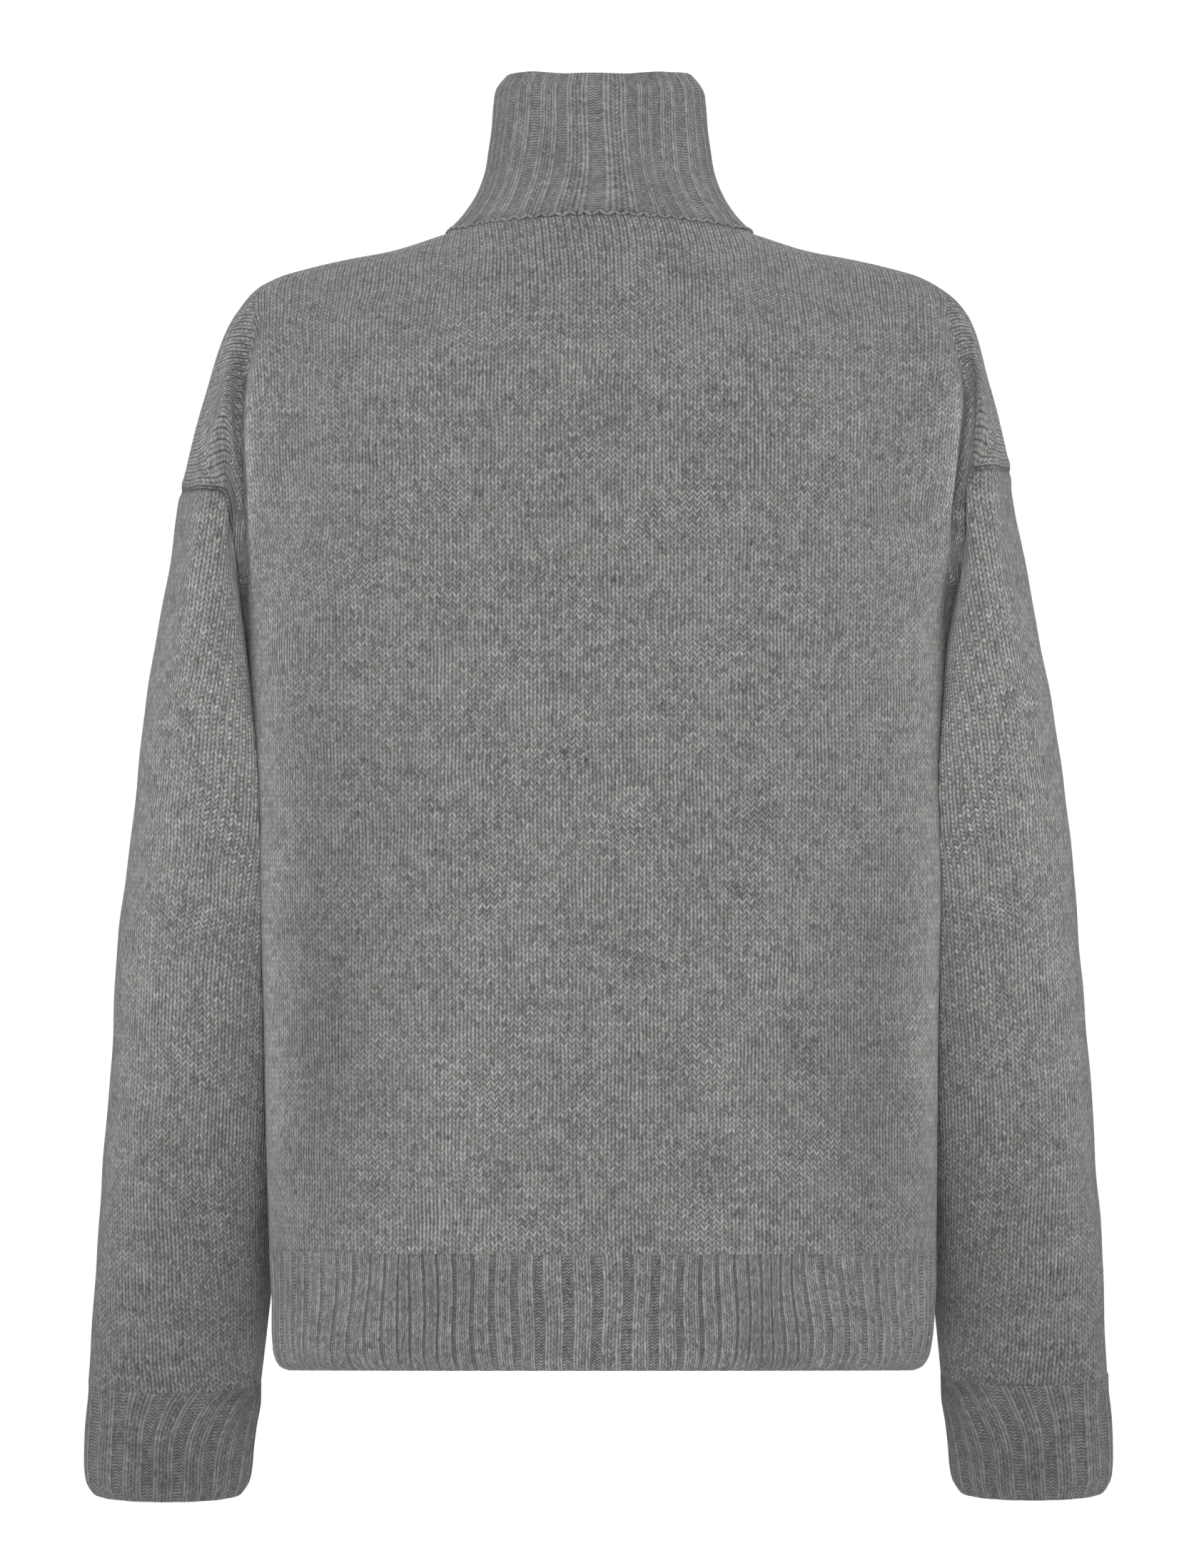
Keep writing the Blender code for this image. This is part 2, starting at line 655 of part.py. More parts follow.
def wool(name):
    """The finish of one piece."""
    material = bpy.data.materials.new(name)
    material.use_nodes = True
    shader = material.node_tree.nodes["Principled BSDF"]
    shader.inputs["Base Color"].default_value = (*MELANGE_GREY, 1.0)
    shader.inputs["Roughness"].default_value = WOOL_ROUGHNESS
    shader.inputs["Metallic"].default_value = 0.0
    return material


def add_piece(name, mesh, garment):
    """An object in the scene for one piece of cloth."""
    piece = bpy.data.objects.new(name, mesh)
    piece.data.materials.append(wool(name + "_wool"))
    piece.parent = garment
    bpy.context.scene.collection.objects.link(piece)


def plain_piece(name, grid, directions, closed, flipped, garment):
    """A piece of plain knit: its inner face lies one thickness inside its outer face."""
    mesh = wall_mesh(name, grid, grid - directions * WALL, closed, flipped)
    add_piece(name, mesh, garment)


def at_columns(grid, lengths, places, closed):
    """The grid's rows at places along them, in straight lines between its columns."""
    ends = np.concatenate([grid, grid[:, :1]], axis=1) if closed else grid
    made = np.empty((grid.shape[0], len(places), 3))
    for axis in range(3):
        for row in range(grid.shape[0]):
            made[row, :, axis] = np.interp(places, lengths, ends[row, :, axis])
    return made


def ribbed_piece(name, grid, directions, stretches, closed, flipped, garment, free_row, every):
    """A piece of rib knit: raised in its outer points over a plain inside.

    A stretch is (its last column, its number of ribs).
    """
    ends = np.concatenate([grid, grid[:, :1]], axis=1) if closed else grid
    lengths = np.linalg.norm(np.diff(ends, axis=1), axis=2).mean(axis=0)
    lengths = np.concatenate([[0.0], np.cumsum(lengths)])
    places, heights, start = [], [], 0.0
    for last_column, rib_count in stretches:
        pitch = (lengths[last_column] - start) / rib_count
        for rib in range(rib_count):
            for share, height in RIB_POINTS:
                places.append(start + (rib + share) * pitch)
                heights.append(height)
        start = lengths[last_column]
    if not closed:
        places[0] = 0.0
        places.append(lengths[-1])
        heights.append(0.0)
    outer_base = at_columns(grid, lengths, places, closed)
    outer_way = at_columns(directions, lengths, places, closed)
    lift = (np.array(heights) - LEVEL_RIB) * RIB_RELIEF
    outer = outer_base + outer_way * lift[None, :, None]
    outer[free_row] = (outer_base - outer_way * EDGE_SINK * RIB_RELIEF)[free_row]
    inner_places = places[::every]
    inner_base = at_columns(grid, lengths, inner_places, closed)
    inner_way = at_columns(directions, lengths, inner_places, closed)
    inner = inner_base - inner_way * (RIB_WALL + LEVEL_RIB * RIB_RELIEF)
    mesh = wall_mesh(name, outer, inner, closed, flipped, every)
    add_piece(name, mesh, garment)


def main():
    for item in list(bpy.data.objects):
        bpy.data.objects.remove(item)
    garment = bpy.data.objects.new("garment", None)
    bpy.context.scene.collection.objects.link(garment)

    back, front = panel_grid(1), panel_grid(-1)
    back_hem, front_hem = hem_grid(1), hem_grid(-1)
    sleeves, cuffs = {}, {}
    for side in (1, -1):
        sleeves[side], turns = sleeve_grid(armhole_loop(back, front, side), side)
        cuffs[side] = cuff_grid(sleeves[side][-1], turns, side)
    collar = collar_grid(back, front)

    sheets = {
        "back": (back, False, False),
        "front": (front, False, True),
        "back_hem": (back_hem, False, False),
        "front_hem": (front_hem, False, True),
        "left_sleeve": (sleeves[1], True, False),
        "right_sleeve": (sleeves[-1], True, True),
        "left_cuff": (cuffs[1], True, False),
        "right_cuff": (cuffs[-1], True, True),
        "collar": (collar, True, False),
    }
    ways = dict(zip(sheets, wall_directions(list(sheets.values()))))
    even_neckline(ways)
    underarm_row = sum(TORSO_STEPS)
    for name in ("back", "front"):
        for column in (0, -1):
            ways[name][underarm_row, column] = UNDERARM_WAY
    for name in ("left_sleeve", "right_sleeve"):
        ways[name][0, 0] = UNDERARM_WAY

    seams = {
        "back": (("row", 0), ("row", -1), ("column", 0), ("column", -1)),
        "front": (("row", 0), ("row", -1), ("column", 0), ("column", -1)),
        "back_hem": (("row", -1), ("column", 0), ("column", -1)),
        "front_hem": (("row", -1), ("column", 0), ("column", -1)),
        "left_sleeve": (("row", 0), ("row", -1)),
        "right_sleeve": (("row", 0), ("row", -1)),
        "left_cuff": (("row", 0),),
        "right_cuff": (("row", 0),),
        "collar": (("row", 0),),
    }
    grids = {}
    for name, (grid, closed, flipped) in sheets.items():
        moved = grid
        gap = RIB_SEAM_GAP if name in ("collar", "left_cuff", "right_cuff") else SEAM_GAP
        for edge in seams[name]:
            moved = moved + (drawn_back(grid, ways[name], edge, closed, flipped, gap) - grid)
        grids[name] = moved

    for name in ("back", "front", "left_sleeve", "right_sleeve"):
        _, closed, flipped = sheets[name]
        plain_piece(name, grids[name], ways[name], closed, flipped, garment)
    neck_columns = back.shape[1] - 1 - 2 * columns_outside_neck()
    for name, stretches, free_row, every in (
        ("back_hem", ((-1, HEM_RIBS),), 0, 4),
        ("front_hem", ((-1, HEM_RIBS),), 0, 4),
        ("left_cuff", ((-1, CUFF_RIBS),), -1, 2),
        ("right_cuff", ((-1, CUFF_RIBS),), -1, 2),
        ("collar", ((neck_columns, COLLAR_BACK_RIBS), (-1, COLLAR_FRONT_RIBS)), -1, 2),
    ):
        _, closed, flipped = sheets[name]
        ribbed_piece(name, grids[name], ways[name], stretches, closed, flipped, garment, free_row, every)


main()
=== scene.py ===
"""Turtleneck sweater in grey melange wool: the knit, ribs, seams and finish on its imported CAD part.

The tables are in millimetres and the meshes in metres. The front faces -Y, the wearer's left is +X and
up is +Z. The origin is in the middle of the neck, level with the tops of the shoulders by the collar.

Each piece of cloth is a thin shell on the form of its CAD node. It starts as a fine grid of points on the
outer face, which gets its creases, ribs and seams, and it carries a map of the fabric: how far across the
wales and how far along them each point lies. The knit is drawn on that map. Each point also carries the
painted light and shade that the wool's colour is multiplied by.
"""

import math

import bpy
import numpy as np
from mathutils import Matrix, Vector


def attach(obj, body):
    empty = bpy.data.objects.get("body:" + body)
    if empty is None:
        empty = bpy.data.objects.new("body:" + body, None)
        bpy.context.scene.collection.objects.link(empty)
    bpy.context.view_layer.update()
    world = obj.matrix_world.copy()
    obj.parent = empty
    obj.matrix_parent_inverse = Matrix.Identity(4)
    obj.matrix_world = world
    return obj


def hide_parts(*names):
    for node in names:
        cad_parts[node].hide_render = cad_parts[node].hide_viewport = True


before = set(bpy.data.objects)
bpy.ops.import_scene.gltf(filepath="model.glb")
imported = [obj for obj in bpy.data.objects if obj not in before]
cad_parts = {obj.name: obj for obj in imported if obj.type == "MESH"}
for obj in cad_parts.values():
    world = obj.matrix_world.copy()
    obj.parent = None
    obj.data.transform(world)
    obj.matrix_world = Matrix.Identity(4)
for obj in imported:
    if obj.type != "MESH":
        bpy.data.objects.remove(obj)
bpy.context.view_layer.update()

MM = 0.001
SMOOTH_ANGLE = 50.0  # degrees

# The body below the arms, from the hem rib up: half widths to the wearer's left and right, and the
# depths from the side seams to the middle of the back and of the front.
SECTION_POWER = 2.4
TORSO_SECTIONS = (
    # z, left, right, back, front
    (-552.6, 180.4, 184.0, 104.0, 103.0),
    (-500.0, 182.1, 184.5, 104.0, 104.0),
    (-430.0, 183.5, 185.3, 105.0, 106.0),
    (-350.0, 186.8, 188.0, 109.0, 109.0),
    (-290.0, 188.4, 186.8, 113.0, 112.0),
    (-240.0, 190.9, 188.4, 116.0, 114.0),
    (-205.0, 192.9, 189.4, 117.5, 115.0),
)
HEM_SECTIONS = (
    (-552.6, 180.4, 184.0, 104.0, 103.0),
    (-580.0, 179.0, 183.2, 103.6, 102.6),
    (-603.0, 178.6, 181.4, 103.2, 102.2),
    (-613.0, 176.9, 178.9, 102.6, 101.6),
    (-617.0, 174.2, 175.8, 101.9, 100.9),
    (-619.3, 169.0, 170.2, 100.8, 99.8),
)
HEM_LIFT = 3.4  # how much higher the middle of the hem's free edge hangs than its sides

# The lines that run up a panel from its hem to its top edge, from its middle to its side. The first
# share is where a line lies on the half section below the arms, the second where it lies at the arms.
PANEL_LINES = (
    # name, share low down, share at the underarm
    ("middle", 0.0, 0.0),
    ("collar_near", 0.115, 0.115),
    ("collar_far", 0.225, 0.225),
    ("neck_point", 0.32, 0.32),
    ("shoulder_inner", 0.44, 0.46),
    ("shoulder_mid", 0.58, 0.62),
    ("shoulder_outer", 0.71, 0.77),
    ("ridge", 0.83, 0.90),
    ("crease", 0.89, 0.962),
    ("arm_ridge", 0.93, 0.975),
    ("arm_back", 0.965, 0.987),
    ("armhole", 1.0, 1.0),
)
SHARES_MEET_Z = -290.0  # below this level the lines keep to their low shares
UNDERARM_FLARE = {-1: 3.4, -2: 1.8, -3: 1.0}  # outwards there, by the line counted from the armhole

# Above the underarm each line passes through six points (x, y, z), the last one on the shoulder seam,
# which lies a little to the front of the shoulder's crown, or on the neckline.
BACK_YOKE = {
    "middle": (
        (0, 118, -158), (0, 117.2, -134), (0, 115, -110), (0, 105, -66), (0, 86, -25), (0, 60, 11.3),
    ),
    "collar_near": (
        (31, 117, -158), (32, 116.2, -134), (33, 114, -110), (36, 103, -66), (39, 81, -26), (41, 50.9, 9.2),
    ),
    "collar_far": (
        (58, 115, -158), (59.3, 113.9, -134), (61, 111, -110), (65, 98, -66), (69, 71, -28), (71, 26, 5.6),
    ),
    "neck_point": (
        (80, 112, -158), (81.2, 110.5, -134), (83, 107, -110), (86, 92, -66), (87, 58, -30), (83, -8, 2.6),
    ),
    "shoulder_inner": (
        (110, 105, -158), (110.5, 103.8, -134), (112, 100, -110), (114, 84, -67), (114, 50, -31),
        (112, -8, -6.6),
    ),
    "shoulder_mid": (
        (141, 91, -158), (141.4, 90.2, -134.5), (142, 87, -111), (143.5, 72, -70), (142, 42, -35.5),
        (140, -8, -12),
    ),
    "shoulder_outer": (
        (166, 71, -158), (166.3, 70.4, -135), (167, 68, -112), (168, 56, -74), (164, 34, -42),
        (160, -8, -16.6),
    ),
    "ridge": (
        (189.5, 44, -160), (189.8, 47.2, -137), (190, 48, -114), (189, 42, -80), (182.5, 27, -49),
        (176, -7.5, -21.4),
    ),
    "crease": (
        (192.3, 32, -169), (193.4, 30, -147), (195.6, 30, -119), (196, 28, -87), (190.5, 18, -57),
        (186.5, -7, -27),
    ),
    "arm_ridge": (
        (194, 29, -173), (196.6, 32.4, -150.5), (202, 38, -122), (204, 37, -91), (201, 22, -66),
        (198, -6.5, -40.2),
    ),
    "arm_back": (
        (195.8, 25.6, -177), (198.8, 33, -153), (205, 41.5, -131), (212.5, 39, -112), (215.5, 21, -97),
        (216.5, -6, -89),
    ),
    "armhole": (
        (197.6, 22, -180), (200.6, 32, -156), (205, 41.5, -139), (214, 42, -137.6), (224.5, 22, -138),
        (229, -5, -138),
    ),
}
# The front's own lines round its lower neckline. Its other lines mirror the back's.
FRONT_YOKE = {
    "middle": (
        (0, -117, -160), (0, -117.3, -139), (0, -116, -118), (0, -110, -90), (0, -100, -66),
        (0, -86, -45.7),
    ),
    "collar_near": (
        (31, -116, -160), (31.8, -116, -138.4), (33, -114.5, -117), (36, -108, -88), (39, -95, -60),
        (41, -75.5, -37.4),
    ),
    "collar_far": (
        (58, -114, -159), (59.3, -113.5, -136), (61, -111, -113), (65, -101, -78), (69, -80, -45),
        (71, -47, -16.8),
    ),
}
MIRROR_Y = (0.0, -0.8, -2.0, -5.0, -8.0)  # where the back's lines are mirrored, by level

# The wearer's right seam lies higher on the arm than the left one, and narrows inwards with that.
SEAM_LIFT = {1: 0.0, -1: 11.0}
LIFT_SHARES = {"arm_ridge": 0.5, "arm_back": 0.85, "armhole": 1.0}
LIFT_LEVELS = (0.1, 0.35, 1.0, 1.0, 1.0, 1.0)
LIFT_IN = (0.0, 0.1, 0.15, 0.3, 0.36, 0.36)
# How much further out the creases lie at the right arm, by level.
RIGHT_OUT = {
    "ridge": (0, 1.6, 3.4, 5.5, 3.5, 0),
    "crease": (0, 0.2, 0.8, 4.6, 3.5, 0),
    "arm_ridge": (0, 0.6, 1.2, 3.6, 2.4, 0),
    "arm_back": (0, 0.2, 0.4, 1.4, 0.8, 0),
}

# The sleeve from its armhole to its cuff. It hangs forwards as it goes down.
SLEEVE_POWER = 2.2
SLEEVE_SECTIONS = (
    # z, left outer, left inner, right outer, right inner, middle in y, half depth
    (-138.0, 229.2, 186.0, 227.0, 186.0, -5.0, 50.0),
    (-205.0, 239.6, 179.5, 239.2, 175.0, -9.0, 54.0),
    (-260.0, 249.2, 176.0, 248.4, 173.0, -15.0, 57.0),
    (-302.0, 253.9, 168.0, 254.4, 168.0, -21.0, 58.0),
    (-353.0, 259.7, 162.0, 260.1, 163.0, -28.0, 58.0),
    (-389.0, 264.0, 162.0, 263.2, 163.0, -33.0, 57.0),
    (-455.0, 268.3, 167.0, 269.5, 168.0, -42.0, 54.0),
    (-502.0, 272.4, 172.0, 272.8, 173.5, -48.0, 50.0),
    (-538.0, 275.0, 176.0, 274.8, 178.0, -53.0, 46.0),
    (-565.0, 276.7, 179.0, 276.5, 181.5, -57.0, 42.0),
    (-599.0, 279.4, 182.8, 278.3, 185.4, -61.0, 36.0),
    (-632.0, 281.3, 186.8, 280.6, 188.6, -64.0, 29.0),
)
ARMHOLE_FADE = 150.0  # below the armhole the sleeve keeps some of its shape for this far
SLEEVE_CLEARANCE = 0.15  # from the body's side
UNDERARM_CLEARANCE = 0.1  # next to the underarm, easing to the other one over the first rows
CLEARANCE_ROWS = 4
CLEARANCE_SPAN = 14
CLEARANCE_SOFTNESS = 0.25
UNDERARM_TUCK = {1: 0.3, -1: 1.5}  # how much closer to the body the sleeve lies at the level TUCK_Z
TUCK_Z = -225.0
TUCK_REACH = 22.0
TUCK_SINK = 0.5

CUFF_SEAM_Z = {1: -627.5, -1: -623.0}
CUFF_TILT = 0.18  # how far the back of a cuff hangs below its middle, as a share of the depth
CUFF_STRETCH = {1: 1.04, -1: 1.1}  # how much longer a cuff hangs than its sections say
CUFF_FADE = 24.0  # below its seam the cuff keeps some of the sleeve's shape for this far
CUFF_SECTIONS = (
    # below the cuff seam, wider by, shift outwards, middle in y, half depth
    (0.0, 0.0, 0.0, -63.6, 30.0),
    (14.0, -0.6, 1.3, -65.0, 27.4),
    (34.0, -2.2, 3.2, -67.0, 26.4),
    (48.0, -3.8, 3.8, -68.6, 25.8),
    (55.0, -7.2, 4.0, -69.4, 25.2),
    (59.4, -14.0, 4.2, -70.0, 23.6),
)

COLLAR_SECTIONS = (
    # z, half width, middle in y, half depth
    (-50.0, 92.0, -10.0, 80.0),
    (-20.0, 88.0, -10.0, 76.0),
    (3.0, 82.0, -10.0, 71.5),
    (12.0, 74.6, -11.0, 67.5),
    (21.0, 69.0, -12.0, 64.0),
    (30.0, 65.2, -13.0, 61.5),
    (38.0, 62.6, -14.0, 59.5),
    (50.0, 60.6, -15.0, 57.5),
    (62.0, 59.0, -16.0, 56.0),
    (75.0, 58.0, -17.0, 55.0),
    (84.0, 56.4, -17.6, 53.6),
    (91.7, 50.6, -18.0, 49.0),
)
COLLAR_MIDDLE = (0.0, -10.0)  # the middle of the neckline in x and y
COLLAR_BASE = (82.0, 71.5)  # and its half width and half depth
COLLAR_TOP_SIDE = 91.7
COLLAR_BACK_DIP = 2.6  # the top edge lies this much lower at the back than at the sides
COLLAR_FRONT_DIP = 6.7
COLLAR_CORNER_DIP = 2.6
COLLAR_EDGE_WAVE = 0.3
COLLAR_EDGE_WAVES = 9
COLLAR_FADE = 0.30  # share of the collar's height over which it takes up the neckline's shape

# How finely each stretch between two lines, sections or levels is divided.
LINE_STEPS = (10, 8, 7, 9, 9, 8, 12, 8, 6, 14, 13)
COLUMN_STEPS = LINE_STEPS[::-1] + LINE_STEPS
TORSO_STEPS = (15, 20, 22, 17, 14, 11)
BELOW_ARMS = sum(TORSO_STEPS)
YOKE_STEPS = (14, 8, 8, 14, 15, 18)
SLEEVE_ROWS = 170
SLEEVE_CROWDING = 0.25  # how much closer its rows are at the top
EDGE_ROWS = (0.0, 0.35, 0.9, 1.7, 2.8)  # mm from a free edge, where its lip is rounded
ROW_PITCH = 3.0  # mm between the rows of a ribbed piece

WALL = 2.4  # thickness of the plain knit
RIB_WALL = 2.6  # thickness of the rib knit, which bends with its ribs
LIP = 1.2  # how far a free edge is rounded over
INNER_SMOOTHING = 4  # passes of evening out the ways inwards, for the inner face

# The rib across its width, from the start of its purl column, and its height there. The knit part has
# three wales, a wide one between two narrow ones on its edges.
RIB_PROFILE = (
    (0.00, 0.30), (0.04, 0.06), (0.10, 0.00), (0.17, 0.10), (0.24, 0.00), (0.30, 0.06), (0.35, 0.55),
    (0.39, 0.92), (0.43, 1.00), (0.48, 0.90), (0.53, 0.74), (0.59, 0.93), (0.66, 1.00), (0.73, 0.93),
    (0.79, 0.74), (0.84, 0.90), (0.89, 1.00), (0.94, 0.86), (0.97, 0.55),
)
RIB_RELIEF = 1.6  # height of a rib over its valleys
LEVEL_RIB = 0.5  # the share of the relief that lies above the plain knit
INNER_RELIEF = 0.5  # how much of it shows on the inside
# How strong a rib is, by the distance from the free edge.
HEM_RELIEF = ((0.0, 0.1), (5.0, 0.3), (11.0, 1.0), (63.0, 1.0), (66.5, 0.6))
CUFF_RELIEF = ((0.0, 0.1), (5.0, 0.3), (11.0, 0.75), (50.0, 0.75), (59.0, 0.15))
COLLAR_RELIEF = (
    (0.0, 0.1), (5.0, 0.25), (12.0, 0.42), (48.0, 0.42), (58.0, 0.28), (66.0, 0.15), (73.0, 0.12),
    (79.0, 0.35), (86.0, 0.5), (100.0, 0.4), (140.0, 0.3),
)
# How strong the hem's ribs are, by the share of its length.
HEM_STRENGTHS = ((0.0, 0.4), (0.2, 0.42), (0.27, 0.95), (0.6, 0.95), (0.68, 0.75), (0.8, 0.5), (1.0, 0.4))
EVEN = ((0.0, 1.0), (1.0, 1.0))
COLLAR_BACK_RIBS = 10
COLLAR_FRONT_RIBS = 12
CUFF_RIBS = 14
# In a narrow rib the purl column closes up: its share of the rib shrinks by PURL_CLOSED.
PURL_CLOSED = 0.2
NARROW_RIB = 8.0  # pitch in mm
WIDE_RIB = 14.0
# The x of the purl columns of the back hem. They lie close at the sides and open in the middle.
HEM_PURLS = (
    172.4, 165.8, 158.7, 150.2, 142.0, 133.4, 124.4, 115.6, 108.2, 101.4, 94.2, 86.4, 77.8, 68.0, 57.1,
    45.6, 32.4, 17.2, 0.8, -15.6, -30.0, -44.9, -55.8, -65.7, -74.7, -82.1, -88.1, -94.0, -99.4,
    -105.9, -113.1, -122.0, -132.6, -142.3, -151.3, -159.9, -167.7,
)
SIDE_RIB_PITCH = 13.0  # beyond them, to the side seams
# How far a rib of the back hem moves to the right from its top to its foot, by the share of the hem's
# length.
HEM_LEANS = (
    (0.0, 0.0), (0.08, -3.0), (0.16, -6.5), (0.22, -5.0), (0.27, -2.0), (0.32, 0.0), (0.55, 0.0),
    (0.64, 1.5), (0.70, 4.0), (0.78, 9.0), (0.86, 8.0), (0.94, 2.0), (1.0, 0.0),
)
# How ribs sway, in mm: the height of each wave, its length down the ribs, its turn from rib to rib, start.
HEM_SWAY = ((0.6, 11.0, 0.9, 0.0), (0.35, math.inf, 2.7, 0.0))
CUFF_SWAY = ((0.5, 8.0, 1.3, 0.0),)
COLLAR_SWAY = ((2.0, math.inf, 1.25, 0.4), (1.4, math.inf, 2.3, 0.0), (0.8, 17.0, 1.1, 0.0))
COLLAR_ASIDE = -5.0
HEM_LENGTH = 480.0  # round one panel
HEM_DROP = 62.0  # mm from the hem's seam to where the ribs have leant fully
LEAN_MIDDLE = 0.4  # the share of the lean that lies above the rib's place
CUFF_LENGTH = 235.0
CUFF_SWING = (11.0, 7.0)  # mm that a cuff's ribs swing aside at its seam, once and twice round
CUFF_SWING_DEPTH = {1: 11.0, -1: 20.0}  # mm below its seam over which they swing back
COLLAR_LENGTH = 365.0

# Soft folds, drawn on a piece as seen from behind, in x and z. side is 1 on the back and -1 on the front.
# Each is side, width, height, path.
PANEL_FOLDS = {
    "back": (
        (1, 2.4, -1.7, ((182, -36), (190, -57), (195, -76), (197, -95), (197, -114), (195, -136))),
        (1, 3.0, 1.2, ((184, -58), (189, -78), (191, -100), (190.5, -130), (190, -170))),
        (1, 3.4, 1.3, ((199, -48), (203, -70), (203, -95), (200, -120), (196, -137), (190, -150))),
        (1, 2.4, -1.7, ((-198, -38), (-201, -57), (-203, -78), (-203, -98), (-201, -116), (-197, -136))),
        (1, 3.0, 1.2, ((-191, -58), (-196, -74), (-197, -88), (-195, -113), (-191, -150), (-189, -174))),
        (1, 3.4, 1.3, ((-205, -56), (-208, -78), (-207, -103), (-201, -118), (-195, -138))),
        (1, 24.0, -2.0, ((104, -143), (117, -260), (139, -416), (158, -545))),
        (1, 20.0, 1.8, ((54, -221), (78, -358), (94, -545))),
        (1, 20.0, -1.8, ((-130, -300), (-150, -455), (-138, -545))),
        (1, 20.0, 1.2, ((-70, -311), (-86, -455), (-102, -545))),
        (1, 16.0, -0.9, ((4, -380), (8, -470), (-4, -540))),
        (1, 14.0, 0.7, ((40, -150), (-30, -185), (-110, -170))),
        (1, 12.0, -0.6, ((95, -120), (40, -165), (-60, -150))),
    ),
    "front": (
        (-1, 3.2, -1.7, ((183, -36), (191, -57), (196, -80), (197, -100), (195, -136))),
        (-1, 3.0, 1.3, ((185, -58), (190, -84), (190, -130), (189, -172))),
        (-1, 3.4, 1.3, ((201, -50), (204, -90), (200, -122), (190, -150))),
        (-1, 3.2, -1.7, ((-197, -38), (-202, -66), (-203, -98), (-197, -136))),
        (-1, 3.0, 1.3, ((-191, -58), (-196, -84), (-194, -130), (-189, -174))),
        (-1, 3.4, 1.3, ((-206, -56), (-208, -90), (-201, -120), (-194, -140))),
        (-1, 22.0, -1.8, ((96, -170), (112, -300), (146, -545))),
        (-1, 20.0, 1.6, ((48, -240), (66, -400), (84, -545))),
        (-1, 22.0, -1.8, ((-108, -210), (-126, -360), (-152, -545))),
        (-1, 18.0, 1.3, ((-60, -300), (-72, -450), (-96, -545))),
        (-1, 14.0, -0.9, ((6, -330), (-6, -440), (10, -540))),
        (-1, 9.0, 1.0, ((70, -30), (40, -62), (-10, -72), (-52, -56), (-72, -28))),
    ),
}
SLEEVE_FOLDS = {
    "left_sleeve": (
        (1, 9.0, -1.0, ((276, -592), (240, -604), (190, -590))),
        (1, 8.0, 0.8, ((276, -574), (236, -586), (188, -572))),
        (1, 10.0, -0.9, ((272, -548), (228, -561), (184, -544))),
        (1, 11.0, -0.6, ((268, -500), (222, -514), (180, -500))),
        (1, 10.0, 0.5, ((262, -420), (226, -440), (190, -430))),
        (1, 7.0, 0.9, ((262, -430), (247, -500), (243, -560))),
        (1, 9.0, -0.7, ((244, -230), (215, -250), (196, -242))),
        (-1, 9.0, -1.1, ((272, -585), (235, -596), (190, -580))),
        (-1, 10.0, -1.0, ((266, -400), (226, -416), (184, -396))),
        (-1, 9.0, 0.8, ((266, -372), (228, -386), (186, -370))),
        (-1, 10.0, -0.9, ((258, -330), (222, -352), (186, -338))),
    ),
    "right_sleeve": (
        (1, 9.0, -1.0, ((-276, -586), (-238, -598), (-190, -580))),
        (1, 8.0, 0.7, ((-276, -566), (-236, -578), (-190, -560))),
        (1, 10.0, -0.8, ((-272, -538), (-228, -550), (-186, -530))),
        (1, 10.0, -0.6, ((-266, -470), (-224, -486), (-188, -474))),
        (1, 8.0, -0.8, ((-236, -168), (-216, -182), (-202, -176))),
        (1, 9.0, 0.6, ((-252, -300), (-226, -318), (-196, -306))),
        (-1, 9.0, -1.1, ((-272, -578), (-235, -590), (-192, -574))),
        (-1, 10.0, -1.0, ((-264, -410), (-226, -424), (-186, -404))),
        (-1, 9.0, 0.8, ((-264, -380), (-228, -396), (-188, -378))),
        (-1, 10.0, -0.8, ((-256, -320), (-222, -344), (-186, -328))),
    ),
}
# Painted shade in the grooves and painted light on the ridges along the folds: side, width, how much lighter,
# path.
FOLD_PAINTED_SHADING = {
    "back": (
        (1, 1.5, -0.3, ((186, -46), (195, -73), (197.5, -94), (197.5, -112), (194, -132))),
        (1, 2.6, 0.22, ((187, -46), (190.5, -80), (191, -110), (190, -170), (188, -250))),
        (1, 2.6, 0.08, ((201, -50), (205, -72), (205, -95), (201, -120))),
        (1, 3.0, 0.16, ((186, -262), (184.5, -340), (182, -420), (179.5, -500), (178.5, -560))),
        (1, 1.5, -0.3, ((-203, -50), (-202, -78), (-200, -98), (-197, -124))),
        (1, 2.6, 0.22, ((-193, -56), (-196, -74), (-195, -113), (-190, -174), (-187, -250))),
        (1, 2.6, 0.08, ((-206, -56), (-209, -80), (-207, -103), (-201, -120))),
        (1, 3.0, 0.16, ((-185, -262), (-185, -340), (-183.5, -420), (-182, -500), (-181.5, -560))),
    ),
    "front": (
        (-1, 1.5, -0.25, ((187, -46), (195, -76), (197, -104), (194, -132))),
        (-1, 2.4, 0.08, ((189, -46), (191, -110), (190, -174))),
        (-1, 1.5, -0.25, ((-200, -46), (-202, -78), (-200, -104), (-196, -130))),
        (-1, 2.4, 0.08, ((-193, -56), (-196, -90), (-190, -174))),
    ),
}
FOLD_TAPER = 0.7  # the lower, the longer a fold keeps its height, and a painted line its light or shade
TONE_TAPER = 0.5
PANEL_WAVES = (60.0, 0.35)  # size and height of the slight unevenness of hanging knit
SLEEVE_WAVES = (50.0, 0.4)
WAVES = 14
WAVE_SIZES = (0.6, 1.8)
NECK_LEAN = 4.5  # mm that the wales below the back of the neck lean aside
NECK_LEAN_DEPTH = 14.0
NECK_LEAN_WIDTH = 85.0
